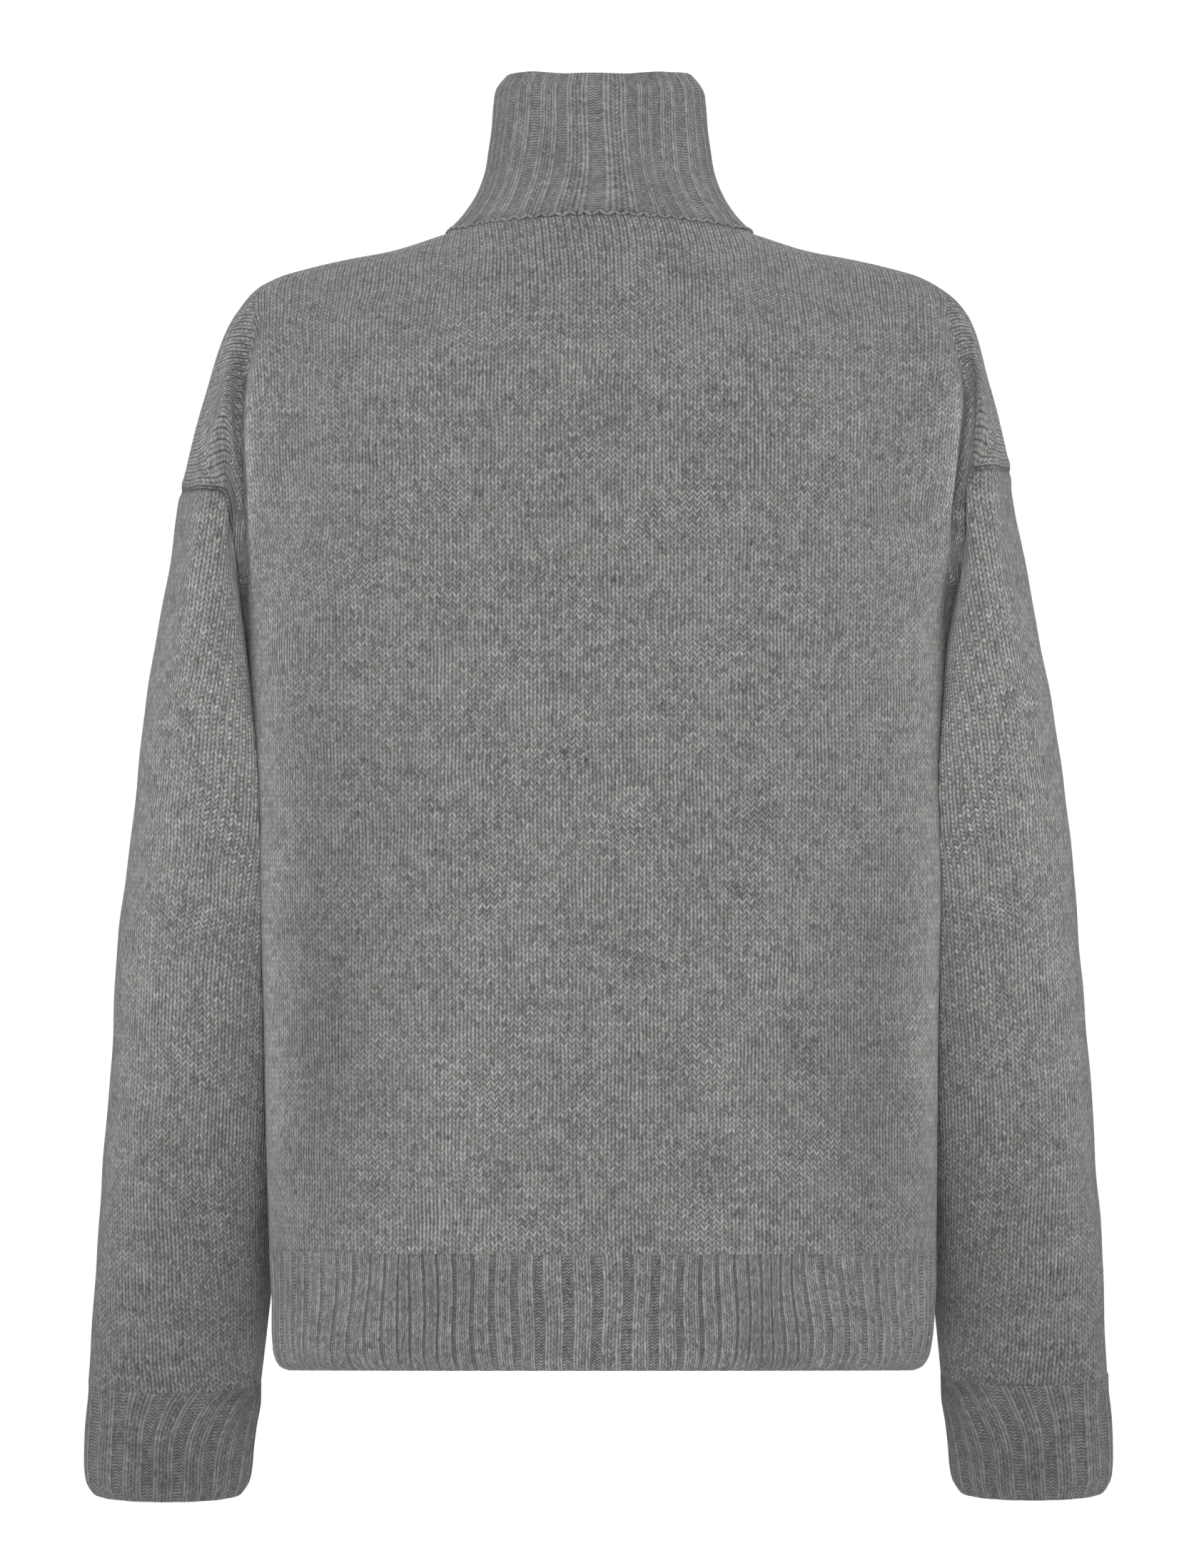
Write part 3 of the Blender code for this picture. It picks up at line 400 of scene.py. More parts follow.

# The seams: how far the knit dips there and over what distance, and how much painted shade darkens it there.
ARMHOLE_LIP = 0.7  # how far a panel stands over the top of the sleeve
LIP_WIDTH = 5.0
LIP_DIP = (1.3, 1.1)
LOBE_FOOT_Z = -165.0  # above this level the panel stands over the sleeve's top
LOBE_X = 193.0  # and beyond this far out
SIDE_DIP = (0.3, 2.0)
TOP_DIP = (0.6, 2.0)
SLEEVE_DIP = (1.4, 3.0)
SEAM_SHADE = 0.5
SEAM_SHADE_WIDTH = 1.6
TOP_SHADE = 0.3
TOP_SHADE_WIDTH = 1.5
RIB_SEAM_SHADE = 0.06
RIB_SEAM_WIDTH = 1.8
SEAM_WAVE = 0.5  # how far the line of a rib's seam wavers
# The map of the knit round the upper arm, where the wales run round it beside the armhole seam.
LOBE_ACROSS = 400.0
LOBE_UP = 700.0

# Soft patches of painted light and painted shade on the panels, for the shading of broad folds and of the
# arms' lobes: x, z, half width, half height and how much lighter.
BACK_PAINTED_PATCHES = (
    (156, -440, 34, 130, -0.27), (108, -330, 22, 60, -0.08), (74, -190, 26, 34, -0.06),
    (68, -470, 26, 100, 0.08), (20, -108, 60, 46, -0.07), (33, -330, 26, 80, 0.04),
    (-45, -115, 30, 40, -0.06), (-118, -450, 24, 90, -0.09), (-160, -440, 32, 130, -0.22),
    (-85, -390, 22, 44, 0.05), (-4, -540, 40, 50, -0.03), (214, -100, 20, 60, 0.24),
    (-214, -100, 20, 60, 0.24), (205, -128, 9, 34, 0.16), (-205, -126, 9, 34, 0.14),
    (152, -160, 26, 110, -0.09), (-152, -150, 26, 80, -0.06), (152, -400, 20, 190, -0.05),
    (-150, -520, 24, 120, -0.08),
)
FRONT_PAINTED_PATCHES = (
    (140, -430, 30, 120, -0.1), (100, -300, 22, 60, -0.07), (60, -460, 26, 100, 0.06),
    (-20, -130, 60, 46, -0.05), (-110, -440, 26, 90, -0.08), (-80, -330, 24, 60, 0.05),
    (212, -95, 20, 60, 0.08), (-212, -95, 20, 60, 0.08),
)
BESIDE_ARM = (-60.0, -120.0, -440.0, -560.0)  # z, fully between the middle two
SIDE_PAINTED_RIM_LIGHT = 0.12  # painted rim light along the side seams, where the standing hairs catch the light
SIDE_RIM_WIDTH = 9.0
BACK_PAINTED_LIGHT = 0.6  # painted light where the body lies against the sleeve, filling its shade, at the back
FRONT_PAINTED_LIGHT = 0.15
RIM_X = 207.0  # no further out than this
SLEEVE_PAINTED_LIGHT = 0.25  # painted light on the sleeve where it lies against the body, filling its shade
INNER_ARM_PAINTED_LIGHT = 0.36  # and painted light on the upper sleeve there
INNER_ARM = (-230.0, 110.0)  # its middle in z and half its height
FRONT_ARM_SHARE = 0.3  # how much of that shows on the front
# Painted light and shade on the sleeve, by z: lighter near the top and darker towards the cuff.
SLEEVE_PAINTED_SHADING = (
    (-137.0, 1.12), (-200.0, 1.2), (-290.0, 1.17), (-350.0, 1.12), (-420.0, 1.07), (-480.0, 1.0),
    (-540.0, 0.9), (-600.0, 0.79), (-640.0, 0.73),
)
# Painted shade on the hem, darker towards its sides, by the share of its length.
HEM_PAINTED_SHADING = (
    (0.0, 0.97), (0.06, 0.93), (0.19, 0.93), (0.26, 1.0), (0.74, 1.0), (0.81, 0.93), (0.94, 0.93),
    (1.0, 0.97),
)
RIB_SHADE = 0.22  # how much painted shade darkens the valleys between the ribs, here and on the cuffs and collar below
CUFF_SHADE = 0.06
COLLAR_SHADE = 0.05
# The cuffs' painted shade, darker like the foot of the sleeve.
CUFF_PAINTED_SHADE = 0.675
COLLAR_SEAM_SHADE = 0.6  # painted shadow on the collar just above the chain that links it

# The knit, in metres where it isn't a share.
WALE = 0.0042
COURSE = 0.0029
STITCH_RISE = 0.9  # how many courses a leg of a stitch climbs
ROW_GAP = 0.75  # how deep the gap above a leg is
EDGE_ROW_GAP = 0.12  # and at the edges of a rib
LEG_GAP = 0.7  # and how deep the gaps beside it are
WALE_GAP = 0.12  # and how much deeper they are between two wales than in the middle of one
TOP_WALE_GAP = 0.5  # and near the shoulders,
TOP_WALE_STRETCH = (0.49, 0.57)  # which are this far up the panel
ORDER_SIZE = 0.035
ORDER_SPREAD = 0.7  # how much rows or columns stand out from place to place
WALE_WOBBLE = 0.3  # how far the wales and the courses stray
COURSE_WOBBLE = 0.35
RIB_COURSE_WOBBLE = 0.5
ROW_ROUND = 0.6  # the lower, the narrower the gap above a leg,
LEG_ROUND = 0.75  # and beside it
WALE_ROUND = 6  # the higher, the narrower the gap between two wales
BAR_WAVE = 0.22  # how wavy the bars of the purl side are
BAR_ROUND = 0.7
CREASE_WIDTH = 0.06
KNIT_EDGE_CREASE = 0.35  # painted shade in the crevice at a rib's knit edge, beside its purl edge
CREASE_SPREAD = 2.2  # how much this changes from place to place
RIB_WIDTH = 0.016
RIB_COURSE = 0.00185
KNIT_RIB_COURSE = 0.0029
RIB_PURL_SHARE = 0.34
RIB_KNIT_SHARE = 1 - RIB_PURL_SHARE
RIB_WALES = 3.0
STITCH_RELIEF = 0.0009
HAIR_RELIEF = 0.35
HAIR_SIZE = 0.0006
YARN_WOBBLE_SIZE = 0.03
STREAK_LENGTH = 0.014
STREAK_SPREAD = 0.44
YARN_APART = 3.7  # how different two yarns' streaks are
FLECK_SIZE = 0.0022
FLECK_SPREAD = 0.6
STITCH_SPREAD = 0.27  # from one leg of a stitch to the next
CLOUD_SIZE = 0.05
CLOUD_HEIGHT = CLOUD_SIZE / 1.6
CLOUD_SPREAD = 0.16
TINT_SIZE = 0.005
TINT_SPREAD = 0.8
GAP_SHADE = 0.16  # painted shade: how bright the gaps between stitches are beside their tops
GATHER_SHADE = 0.95  # painted shade of little gathers just above the chain that links the collar
GATHER_SIZE = (0.0016, 0.012)  # their width and height
GATHER_SPREAD = (0.25, 1.6)  # how strong they are in the middle, and from place to place
GATHER_FADE = 0.0034  # how far above the chain they fade
DARKEST = 0.75  # the most that painted shade in creases and gathers darkens
# painted shade at the ribs' edges, on the hem and on the cuffs and collar
RIB_CREASE = 0.2
COLLAR_CREASE = 0.1
RIB_TONE = 0.92
COLLAR_TONE = 0.84
INSIDE_TONE = 0.9
YARN_SPREADS = {"hem": 0.9, "cuff": 0.75, "collar": 0.65}  # how uneven the yarn's shades are
COOL_GREY = (0.312, 0.329, 0.326)
WARM_GREY = (0.337, 0.329, 0.311)
BRUSHED = {"Roughness": 0.95, "Specular IOR Level": 0.15, "Sheen Weight": 0.25, "Sheen Roughness": 0.6}

# The linked seam of the collar.
LINK_PITCH = 4.0
BALL_SEGMENTS = 8  # each link is a stretched ball
BALL_RINGS = 6
LINK_SIZE = (2.4, 0.95, 0.8)
LINK_LEAN = 30.0  # degrees, to one side and the other in turn
LINK_OUT = 0.4
LINK_UP = 0.2
LINK_SPREADS = ((-10.0, 0.88, -0.3), (10.0, 1.12, 0.3))  # of the lean, the size and the height
LINK_TONE = 0.8

# Loose hairs of the brushed wool, in mm.
HAIR_LENGTHS = (1.2, 3.4)  # the shortest and the longest
HAIR_THICKNESS = 0.1
HAIR_DEPTH = 0.2  # how deep they start in the cloth
HAIR_ROOM = 34.0  # square mm of fabric for each
HAIR_OUT = (0.15, 0.8)  # how far they point outwards,
HAIR_ASIDE = (0.4, 1.0)  # and how far aside

STUDIO_WHITE = (1.0, 1.0, 1.0)
FLOOR_COLOUR = (0.86, 0.86, 0.855, 1.0)
FLOOR_ROUGHNESS = 0.8
FLOOR_SIDES = 96
FLOOR_RADIUS = 2.5
FLOOR_GRAIN = 40.0
FLOOR_BUMP = 0.05
FLOOR_Z = -1.25
FILL_LIGHT = 0.14
SEEN_LIGHT = 1.05  # the surroundings as the camera sees them
FILM_WIDTH = 36.0
CAMERA_DISTANCE = 9.0
FARTHEST = 100.0
VIEW_HEIGHT = 0.85683
VIEW_MIDDLE_Z = -0.2985
LAMPS = (
    # name, place, watts
    ("back_high", (0.0, 2.6, 2.0), 40.0),
    ("back_middle", (0.0, 3.2, 0.6), 44.0),
    ("back_left", (3.0, 0.9, 0.3), 27.0),
    ("back_right", (-3.0, 0.9, 0.3), 26.0),
    ("front_high", (0.0, -2.6, 2.0), 40.0),
    ("front_middle", (0.0, -3.2, 0.6), 44.0),
    ("front_left", (3.0, -0.9, 0.3), 20.0),
    ("front_right", (-3.0, -0.9, 0.3), 20.0),
)
LAMP_SIZE = 1.6
LAMP_AIM = (0.0, 0.0, -0.3)


def eased(share):
    """0 to 1 with a soft start and end."""
    share = np.clip(share, 0.0, 1.0)
    return share * share * (3 - 2 * share)


def bell(distance, width):
    """1 at no distance, and almost 0 from twice the width on."""
    return np.exp(-((distance / width) ** 2))


def unit(ways):
    """Vectors, brought to a length of 1."""
    return ways / np.maximum(np.linalg.norm(ways, axis=-1, keepdims=True), 1e-9)


def spacing(points, axis=0):
    """How far each point is from the next one."""
    return np.linalg.norm(np.diff(points, axis=axis), axis=-1)


def added_up(lengths, axis=0):
    """Lengths added up along an axis, from 0."""
    total = np.cumsum(lengths, axis=axis)
    return np.concatenate([0 * total.take([0], axis), total], axis)


def ring(grid, closed=True):
    """A grid. One of a tube has its first column once more at the end, where it meets itself."""
    return np.concatenate([grid, grid[:, :1]], axis=1) if closed else grid


def looked_up(places, table):
    """A table's second column at values of its first one."""
    return np.interp(places, *zip(*table))


def cubic(t, start, end, leaving, arriving):
    """A smooth curve from start to end, at t from 0 to 1, with these slopes at its ends."""
    return (
        (2 * t**3 - 3 * t**2 + 1) * start + (t**3 - 2 * t**2 + t) * leaving
        + (3 * t**2 - 2 * t**3) * end + (t**3 - t**2) * arriving
    )


def through(points, steps, before=None, after=None):
    """Points on smooth curves through the given ones, with this many steps in each stretch.

    The first axis runs along the curves, which are made side by side.
    """
    points = np.asarray(points, float)
    first = 2 * points[0] - points[1] if before is None else before
    last = 2 * points[-1] - points[-2] if after is None else after
    runs = np.diff(np.concatenate([[first], points, [last]]), axis=0)
    lengths = np.maximum(np.linalg.norm(runs, axis=-1, keepdims=True), 1e-6)
    slopes = runs / lengths
    near, far = lengths[:-1], lengths[1:]
    tangents = (slopes[:-1] * far + slopes[1:] * near) / (near + far)
    made = [
        cubic(step / count, points[i], points[i + 1], far[i] * tangents[i], far[i] * tangents[i + 1])
        for i, count in enumerate(steps)
        for step in range(count)
    ]
    return np.array([*made, points[-1]])


def along(table, places):
    """A table's other columns at values of its first one, read smoothly between the rows."""
    rows = np.array(sorted(table), float)
    keys, values = rows[:, 0], rows[:, 1:]
    slopes = np.diff(values, axis=0) / np.diff(keys)[:, None]
    tangents = np.vstack([slopes[:1], (slopes[:-1] + slopes[1:]) / 2, slopes[-1:]])
    places = np.clip(places, keys[0], keys[-1])
    i = np.clip(np.searchsorted(keys, places, side="right") - 1, 0, len(keys) - 2)
    width = (keys[i + 1] - keys[i])[..., None]
    t = (places - keys[i])[..., None] / width
    made = cubic(t, values[i], values[i + 1], width * tangents[i], width * tangents[i + 1])
    return np.moveaxis(made, -1, 0)


def section_point(half_width, depth, share):
    """The place at a share of a quarter section, counted along it from the middle to the side."""
    turns = np.linspace(0.0, math.pi / 2, 181)
    xs = half_width * np.sin(turns) ** (2 / SECTION_POWER)
    ys = depth * np.abs(np.cos(turns)) ** (2 / SECTION_POWER)
    run = added_up(np.hypot(np.diff(xs), np.diff(ys)))
    return np.interp(share * run[-1], run, xs), np.interp(share * run[-1], run, ys)


def torso_row(table, z, side, face):
    """One section's points, from the middle to one side. side is 1 for the left, face 1 for the back."""
    left, right, back, front = along(table, z)
    rise = eased((z - SHARES_MEET_Z) / (TORSO_SECTIONS[-1][0] - SHARES_MEET_Z))
    _, low, high = zip(*PANEL_LINES)
    shares = low + np.subtract(high, low) * rise
    x, y = section_point(left if side > 0 else right, back if face > 0 else front, shares)
    return np.stack([side * x, face * y, z + 0 * x], axis=-1)


def yoke_line(name, side, face):
    """The points of a line above the underarm."""
    points = np.array(BACK_YOKE[name], float)
    if face < 0 and name in FRONT_YOKE:
        points = np.array(FRONT_YOKE[name], float)
    elif face < 0:
        points[:-1, 1] = 2 * np.array(MIRROR_Y) - points[:-1, 1]
    lift = SEAM_LIFT[side] * LIFT_SHARES.get(name, 0.0) * np.array(LIFT_LEVELS)
    points[:, 2] += lift
    points[:, 0] -= lift * np.array(LIFT_IN)
    if side < 0:
        points[:, 0] += RIGHT_OUT.get(name, 0.0)
    return points * (side, 1, 1)


def panel_net(side, face):
    """Half a panel's lines: one row for each section and level, one column for each line."""
    rows = np.array([torso_row(TORSO_SECTIONS, section[0], side, face) for section in TORSO_SECTIONS])
    for column, out in UNDERARM_FLARE.items():
        rows[-1, column, 0] += side * out
    yoke = np.array([yoke_line(line[0], side, face) for line in PANEL_LINES])
    return np.concatenate([rows, yoke.transpose(1, 0, 2)])


def panel_grid(face):
    """The outer face of the back or the front, from its left side to its right side, hem to top."""
    halves = []
    neck = line_index("neck_point")
    for side in (1, -1):
        net = panel_net(side, face)
        over = 2 * net[-1] - net[-2]
        over[neck:] = panel_net(side, -face)[-2, neck:]
        halves.append(through(net, TORSO_STEPS + YOKE_STEPS, after=over))
    left, right = halves
    lines = np.concatenate([left[:, ::-1], right[:, 1:]], axis=1).transpose(1, 0, 2)
    before, after = 2 * lines[0] - lines[1], 2 * lines[-1] - lines[-2]
    before[:BELOW_ARMS] = lines[1, :BELOW_ARMS] * (1, -1, 1)
    after[:BELOW_ARMS] = lines[-2, :BELOW_ARMS] * (1, -1, 1)
    grid = through(lines, COLUMN_STEPS, before, after).transpose(1, 0, 2)
    drawn = top_row(lines[:, -1], face) - grid[-1]
    last_rows = YOKE_STEPS[-1]
    grid[-last_rows:] += eased(np.arange(1, last_rows + 1) / last_rows)[:, None, None] * drawn
    return grid


def line_index(name):
    """The place of a line of the panels, counted from the middle."""
    return [line[0] for line in PANEL_LINES].index(name)


def column_of(name, side):
    """The column of a panel's fine grid in which a line lies."""
    return sum(LINE_STEPS) - side * sum(LINE_STEPS[: line_index(name)])


def columns_outside_neck():
    """How many of a panel's columns of faces lie to one side of its neckline."""
    return column_of("neck_point", 1)


def top_row(line, face):
    """The panel's top edge: a shoulder seam, the neckline and the other shoulder seam."""
    outside = len(PANEL_LINES) - 1 - line_index("neck_point")
    beyond = [yoke_line("collar_far", side, -face)[-1] for side in (1, -1)]
    left = through(line[: outside + 1], COLUMN_STEPS[:outside])
    neckline = through(line[outside:-outside], COLUMN_STEPS[outside:-outside], *beyond)
    right = through(line[-outside - 1 :], COLUMN_STEPS[-outside:])
    return np.concatenate([left, neckline[1:-1], right])


def hem_grid(face):
    """The plain surface under a hem rib, from its free edge up."""
    bottom, top = HEM_SECTIONS[-1][0], HEM_SECTIONS[0][0]
    rows = []
    for z in edge_first(bottom, top):
        left, right = (torso_row(HEM_SECTIONS, z, side, face) for side in (1, -1))
        line = np.concatenate([left[::-1], right[1:]])
        lift = HEM_LIFT * eased((top - z) / (top - bottom))
        line[:, 2] += lift * np.maximum(line[:, 1], 0) / HEM_SECTIONS[0][3]
        rows.append(through(line, COLUMN_STEPS, line[1] * (1, -1, 1), line[-2] * (1, -1, 1)))
    return np.array(rows)


def edge_first(start, end):
    """Places from a free edge to a seam, close together at the edge."""
    rest = abs(end - start) - EDGE_ROWS[-1]
    count = round(rest / ROW_PITCH)
    further = EDGE_ROWS[-1] + rest * np.arange(1, count + 1) / count
    return start + np.sign(end - start) * np.concatenate([EDGE_ROWS, further])


def armhole_loop(back, front, side):
    """The armhole from the underarm, up round the back of the arm, over it and down the front."""
    up, down = (grid[BELOW_ARMS:, 0 if side > 0 else -1] for grid in (back, front))
    return np.concatenate([up, down[-2:0:-1]])


def body_side_x(y, z, side):
    """How far out the body's side is at this depth and level."""
    z = np.minimum(z, TORSO_SECTIONS[-1][0])
    left, right, back, front = along(TORSO_SECTIONS, np.maximum(z, TORSO_SECTIONS[0][0]))
    depth = np.where(y > 0, back, front)
    rest = np.maximum(1 - np.minimum(np.abs(y) / depth, 1.0) ** SECTION_POWER, 0.0)
    return (left if side > 0 else right) * rest ** (1 / SECTION_POWER)


def squared(value):
    """A sine or cosine, drawn towards the corners of a sleeve's section."""
    return np.copysign(np.abs(value) ** (2 / SLEEVE_POWER), value)


def sleeve_section(z, side):
    """A sleeve's outer and inner x at a level, its middle in y and its half depth."""
    row = along(SLEEVE_SECTIONS, z)
    return (*row[:2], *row[4:]) if side > 0 else row[2:]


def sleeve_point(z, turn, side):
    """Points of the sleeve's free shape. turn is 0 next to the body and a quarter turn at the back."""
    outer, inner, mid_y, half_depth = sleeve_section(z, side)
    x = (outer + inner) / 2 - (outer - inner) / 2 * squared(np.cos(turn))
    return np.stack([x, mid_y + half_depth * squared(np.sin(turn)), z + 0 * x], axis=-1)


def sleeve_rows():
    """The sleeve's rows, counted from 0 to 1, and how far down it they lie, closer at the top."""
    rows = np.linspace(0.0, 1.0, SLEEVE_ROWS + 1)[:, None]
    return rows, (1 - SLEEVE_CROWDING) * rows + SLEEVE_CROWDING * rows**2


def sleeve_grid(loop, side):
    """The sleeve's outer face. Its first row is the armhole and its last row is the cuff seam."""
    run = added_up(spacing(np.vstack([loop, loop[:1]])))
    turns = run[:-1] / run[-1] * 2 * math.pi
    start = loop * (side, 1, 1)
    seam_z = CUFF_SEAM_Z[side]
    seam_y = sleeve_point(np.full(turns.shape, seam_z), turns, side)[:, 1]
    end_z = seam_z - CUFF_TILT * (seam_y - sleeve_section(seam_z, side)[2])
    offset = start - sleeve_point(start[:, 2], turns, side)
    rows, shares = sleeve_rows()
    z = start[:, 2] + (end_z - start[:, 2]) * shares
    kept = 1 - eased((start[:, 2] - z) / ARMHOLE_FADE)
    grid = sleeve_point(z, turns[None, :] + 0 * z, side) + offset * kept[..., None] * (1, 1, 0)
    grid[..., 0] -= UNDERARM_TUCK[side] * beside_underarm(grid[..., 2]) * eased(np.cos(turns))
    grid[..., 0] = clear_of_body(grid, side, rows * CLEARANCE_SPAN)
    return grid * (side, 1, 1), turns


def beside_underarm(z):
    """1 at the level where the sleeve is tucked against the body, just below the underarm."""
    return bell(z - TUCK_Z, TUCK_REACH)


def clear_of_body(grid, side, reach):
    """The x of the sleeve's points, moved outwards where the body's side is in their way."""
    x, y, z = np.moveaxis(grid, -1, 0)
    start = np.maximum(eased(reach / CLEARANCE_ROWS), 1e-3)
    clearance = UNDERARM_CLEARANCE + (SLEEVE_CLEARANCE - UNDERARM_CLEARANCE) * start
    limit = body_side_x(y, z, side) + clearance - TUCK_SINK * beside_underarm(z)
    softness = CLEARANCE_SOFTNESS * start
    over = np.clip((x - limit) / softness, -40, 40)
    moved = np.where(over < 30, limit + softness * np.log1p(np.exp(over)), x)
    return x + (moved - x) * eased(reach)


def cuff_grid(top, turns, side):
    """The plain surface under a cuff's ribs, from the cuff seam down."""
    level = CUFF_SEAM_Z[side]
    outer, inner, _, _ = sleeve_section(level, side)
    drop = edge_first(CUFF_SECTIONS[-1][0], 0.0)[::-1, None]
    wider, shift, mid_y, half_depth = along(CUFF_SECTIONS, drop)
    x = (outer + inner) / 2 + shift - (outer - inner + wider) / 2 * squared(np.cos(turns))
    y = mid_y + half_depth * squared(np.sin(turns))
    fall = drop * CUFF_STRETCH[side]
    free = np.stack([side * x, y, level - fall - CUFF_TILT * (y - mid_y)], axis=-1)
    kept = (1 - eased(drop / CUFF_FADE))[..., None]
    return free * (1 - kept) + (top - fall[..., None] * (0, 0, 1)) * kept


def collar_grid(back, front):
    """The plain surface under the collar's ribs, from the neckline up, round from the left side."""
    outside = columns_outside_neck()
    back_neck, front_neck = (grid[-1, outside:-outside] for grid in (back, front))
    base = np.concatenate([back_neck, front_neck[-2:0:-1]])
    x, y = (base[:, :2] - COLLAR_MIDDLE).T
    turn = np.arctan2(x / COLLAR_BASE[0], y / COLLAR_BASE[1])
    dip = np.where(np.cos(turn) > 0, COLLAR_BACK_DIP, COLLAR_FRONT_DIP)
    top_z = COLLAR_TOP_SIDE - dip * np.cos(turn) ** 2 - COLLAR_CORNER_DIP * np.abs(np.sin(turn)) ** 16
    top_z += COLLAR_EDGE_WAVE * np.sin(COLLAR_EDGE_WAVES * turn + 1.0)
    height = COLLAR_TOP_SIDE - base[:, 2].mean()
    share = 1 - edge_first(0.0, height)[::-1, None] / height
    z = base[:, 2] + (top_z - base[:, 2]) * share
    half_width, mid_y, half_depth = along(COLLAR_SECTIONS, z + (COLLAR_TOP_SIDE - top_z) * share)
    free = np.stack([half_width * np.sin(turn), mid_y + half_depth * np.cos(turn), z], axis=-1)
    return free + (base - free[0]) * (1 - eased(share / COLLAR_FADE))[..., None]


def outwards(grid, closed, flipped):
    """The unit way outwards at every point of a grid."""
    ends = ring(grid, closed)
    faces = unit(np.cross(ends[1:, 1:] - ends[:-1, :-1], ends[1:, :-1] - ends[:-1, 1:]))
    total = np.zeros_like(ends)
    for rows in (slice(0, -1), slice(1, None)):
        for columns in (slice(0, -1), slice(1, None)):
            total[rows, columns] += faces
    if closed:
        total[:, 0] += total[:, -1]
        total = total[:, :-1]
    return unit(total) * (-1 if flipped else 1)


def inside_of(outer, ways, closed):
    """The inner face of plain knit. The ways inwards are evened out first, so that they don't cross."""
    for _ in range(INNER_SMOOTHING):
        wide = np.pad(ways, ((0, 0), (1, 1), (0, 0)), mode="wrap" if closed else "edge")
        ways = (wide[:, :-2] + 2 * ways + wide[:, 2:]) / 4
        tall = np.pad(ways, ((1, 1), (0, 0), (0, 0)), mode="edge")
        ways = (tall[:-2] + 2 * ways + tall[2:]) / 4
    return outer - unit(ways) * WALL


def fabric_places(grid, closed):
    """How far across the wales and along them each point lies, in mm. A tube gets one column more."""
    ends = ring(grid, closed)
    wale = unit(np.gradient(ends, axis=0))
    between = unit(wale[:, 1:] + wale[:, :-1])
    across = added_up(np.linalg.norm(np.cross(np.diff(ends, axis=1), between), axis=-1), 1)
    middle = grid.shape[1] // 2
    return across - across[:, middle : middle + 1], added_up(spacing(ends))


def from_path(points, path):
    """How far points lie from a path in the same plane, and how far along it they are, from 0 to 1."""
    path = np.asarray(path, float)
    lengths = spacing(path)
    starts = added_up(lengths)
    nearest = np.full(points.shape[:-1], np.inf)
    place = np.zeros(points.shape[:-1])
    for start, run, length, before in zip(path, np.diff(path, axis=0), lengths, starts):
        share = np.clip(((points - start) @ run) / length**2, 0.0, 1.0)
        away = np.linalg.norm(points - start - share[..., None] * run, axis=-1)
        closer = away < nearest
        nearest = np.where(closer, away, nearest)
        place = np.where(closer, (before + share * length) / starts[-1], place)
    return nearest, place


def folds(grid, ways, table, taper):
    """How far soft folds lift each point, or how much painted light or shade they give it. They fade at their
    ends.
    """
    total = np.zeros(grid.shape[:2])
    for side, width, height, path in table:
        away, place = from_path(grid[..., [0, 2]], path)
        ending = np.sin(math.pi * np.clip(0.04 + 0.92 * place, 0, 1)) ** taper
        total += height * bell(away, width) * ending * eased((side * ways[..., 1] + 0.15) / 0.5)
    return total


def painted_patches(grid, light_patches):
    """How light each point is painted, from soft patches of painted light and painted shade."""
    light = np.ones(grid.shape[:2])
    for x, z, half_width, half_height, change in light_patches:
        light += change * bell(grid[..., 0] - x, half_width) * bell(grid[..., 2] - z, half_height)
    return light


def slow_waves(places, seed, size, height):
    """Slight unevenness of hanging knit, the same at every run."""
    rng = np.random.default_rng(seed)
    waves = np.zeros(places.shape[:-1])
    for _ in range(WAVES):
        way = unit(rng.normal(size=places.shape[-1]))
        pitch = size * rng.uniform(*WAVE_SIZES)
        waves += np.sin(places @ way * 2 * math.pi / pitch + rng.uniform(0, 2 * math.pi))
    return waves * height / math.sqrt(WAVES / 2)


def corners_of(table):
    """What a grid holds at the four corners of each face, anticlockwise as seen from outside."""
    return np.stack([table[:-1, :-1], table[:-1, 1:], table[1:, 1:], table[1:, :-1]], axis=2)


def corner_places(across, up):
    """The places on the fabric of the four corners of each face."""
    return corners_of(np.stack([across, up], axis=-1))


def new_piece(name, points, faces, finishes):
    """A piece from points in mm, faces and finishes."""
    mesh = bpy.data.meshes.new(name)
    mesh.from_pydata((points.reshape(-1, 3) * MM).tolist(), [], faces)
    for finish in finishes:
        mesh.materials.append(finish)
    piece = bpy.data.objects.new(name, mesh)
    bpy.context.scene.collection.objects.link(piece)
    return piece


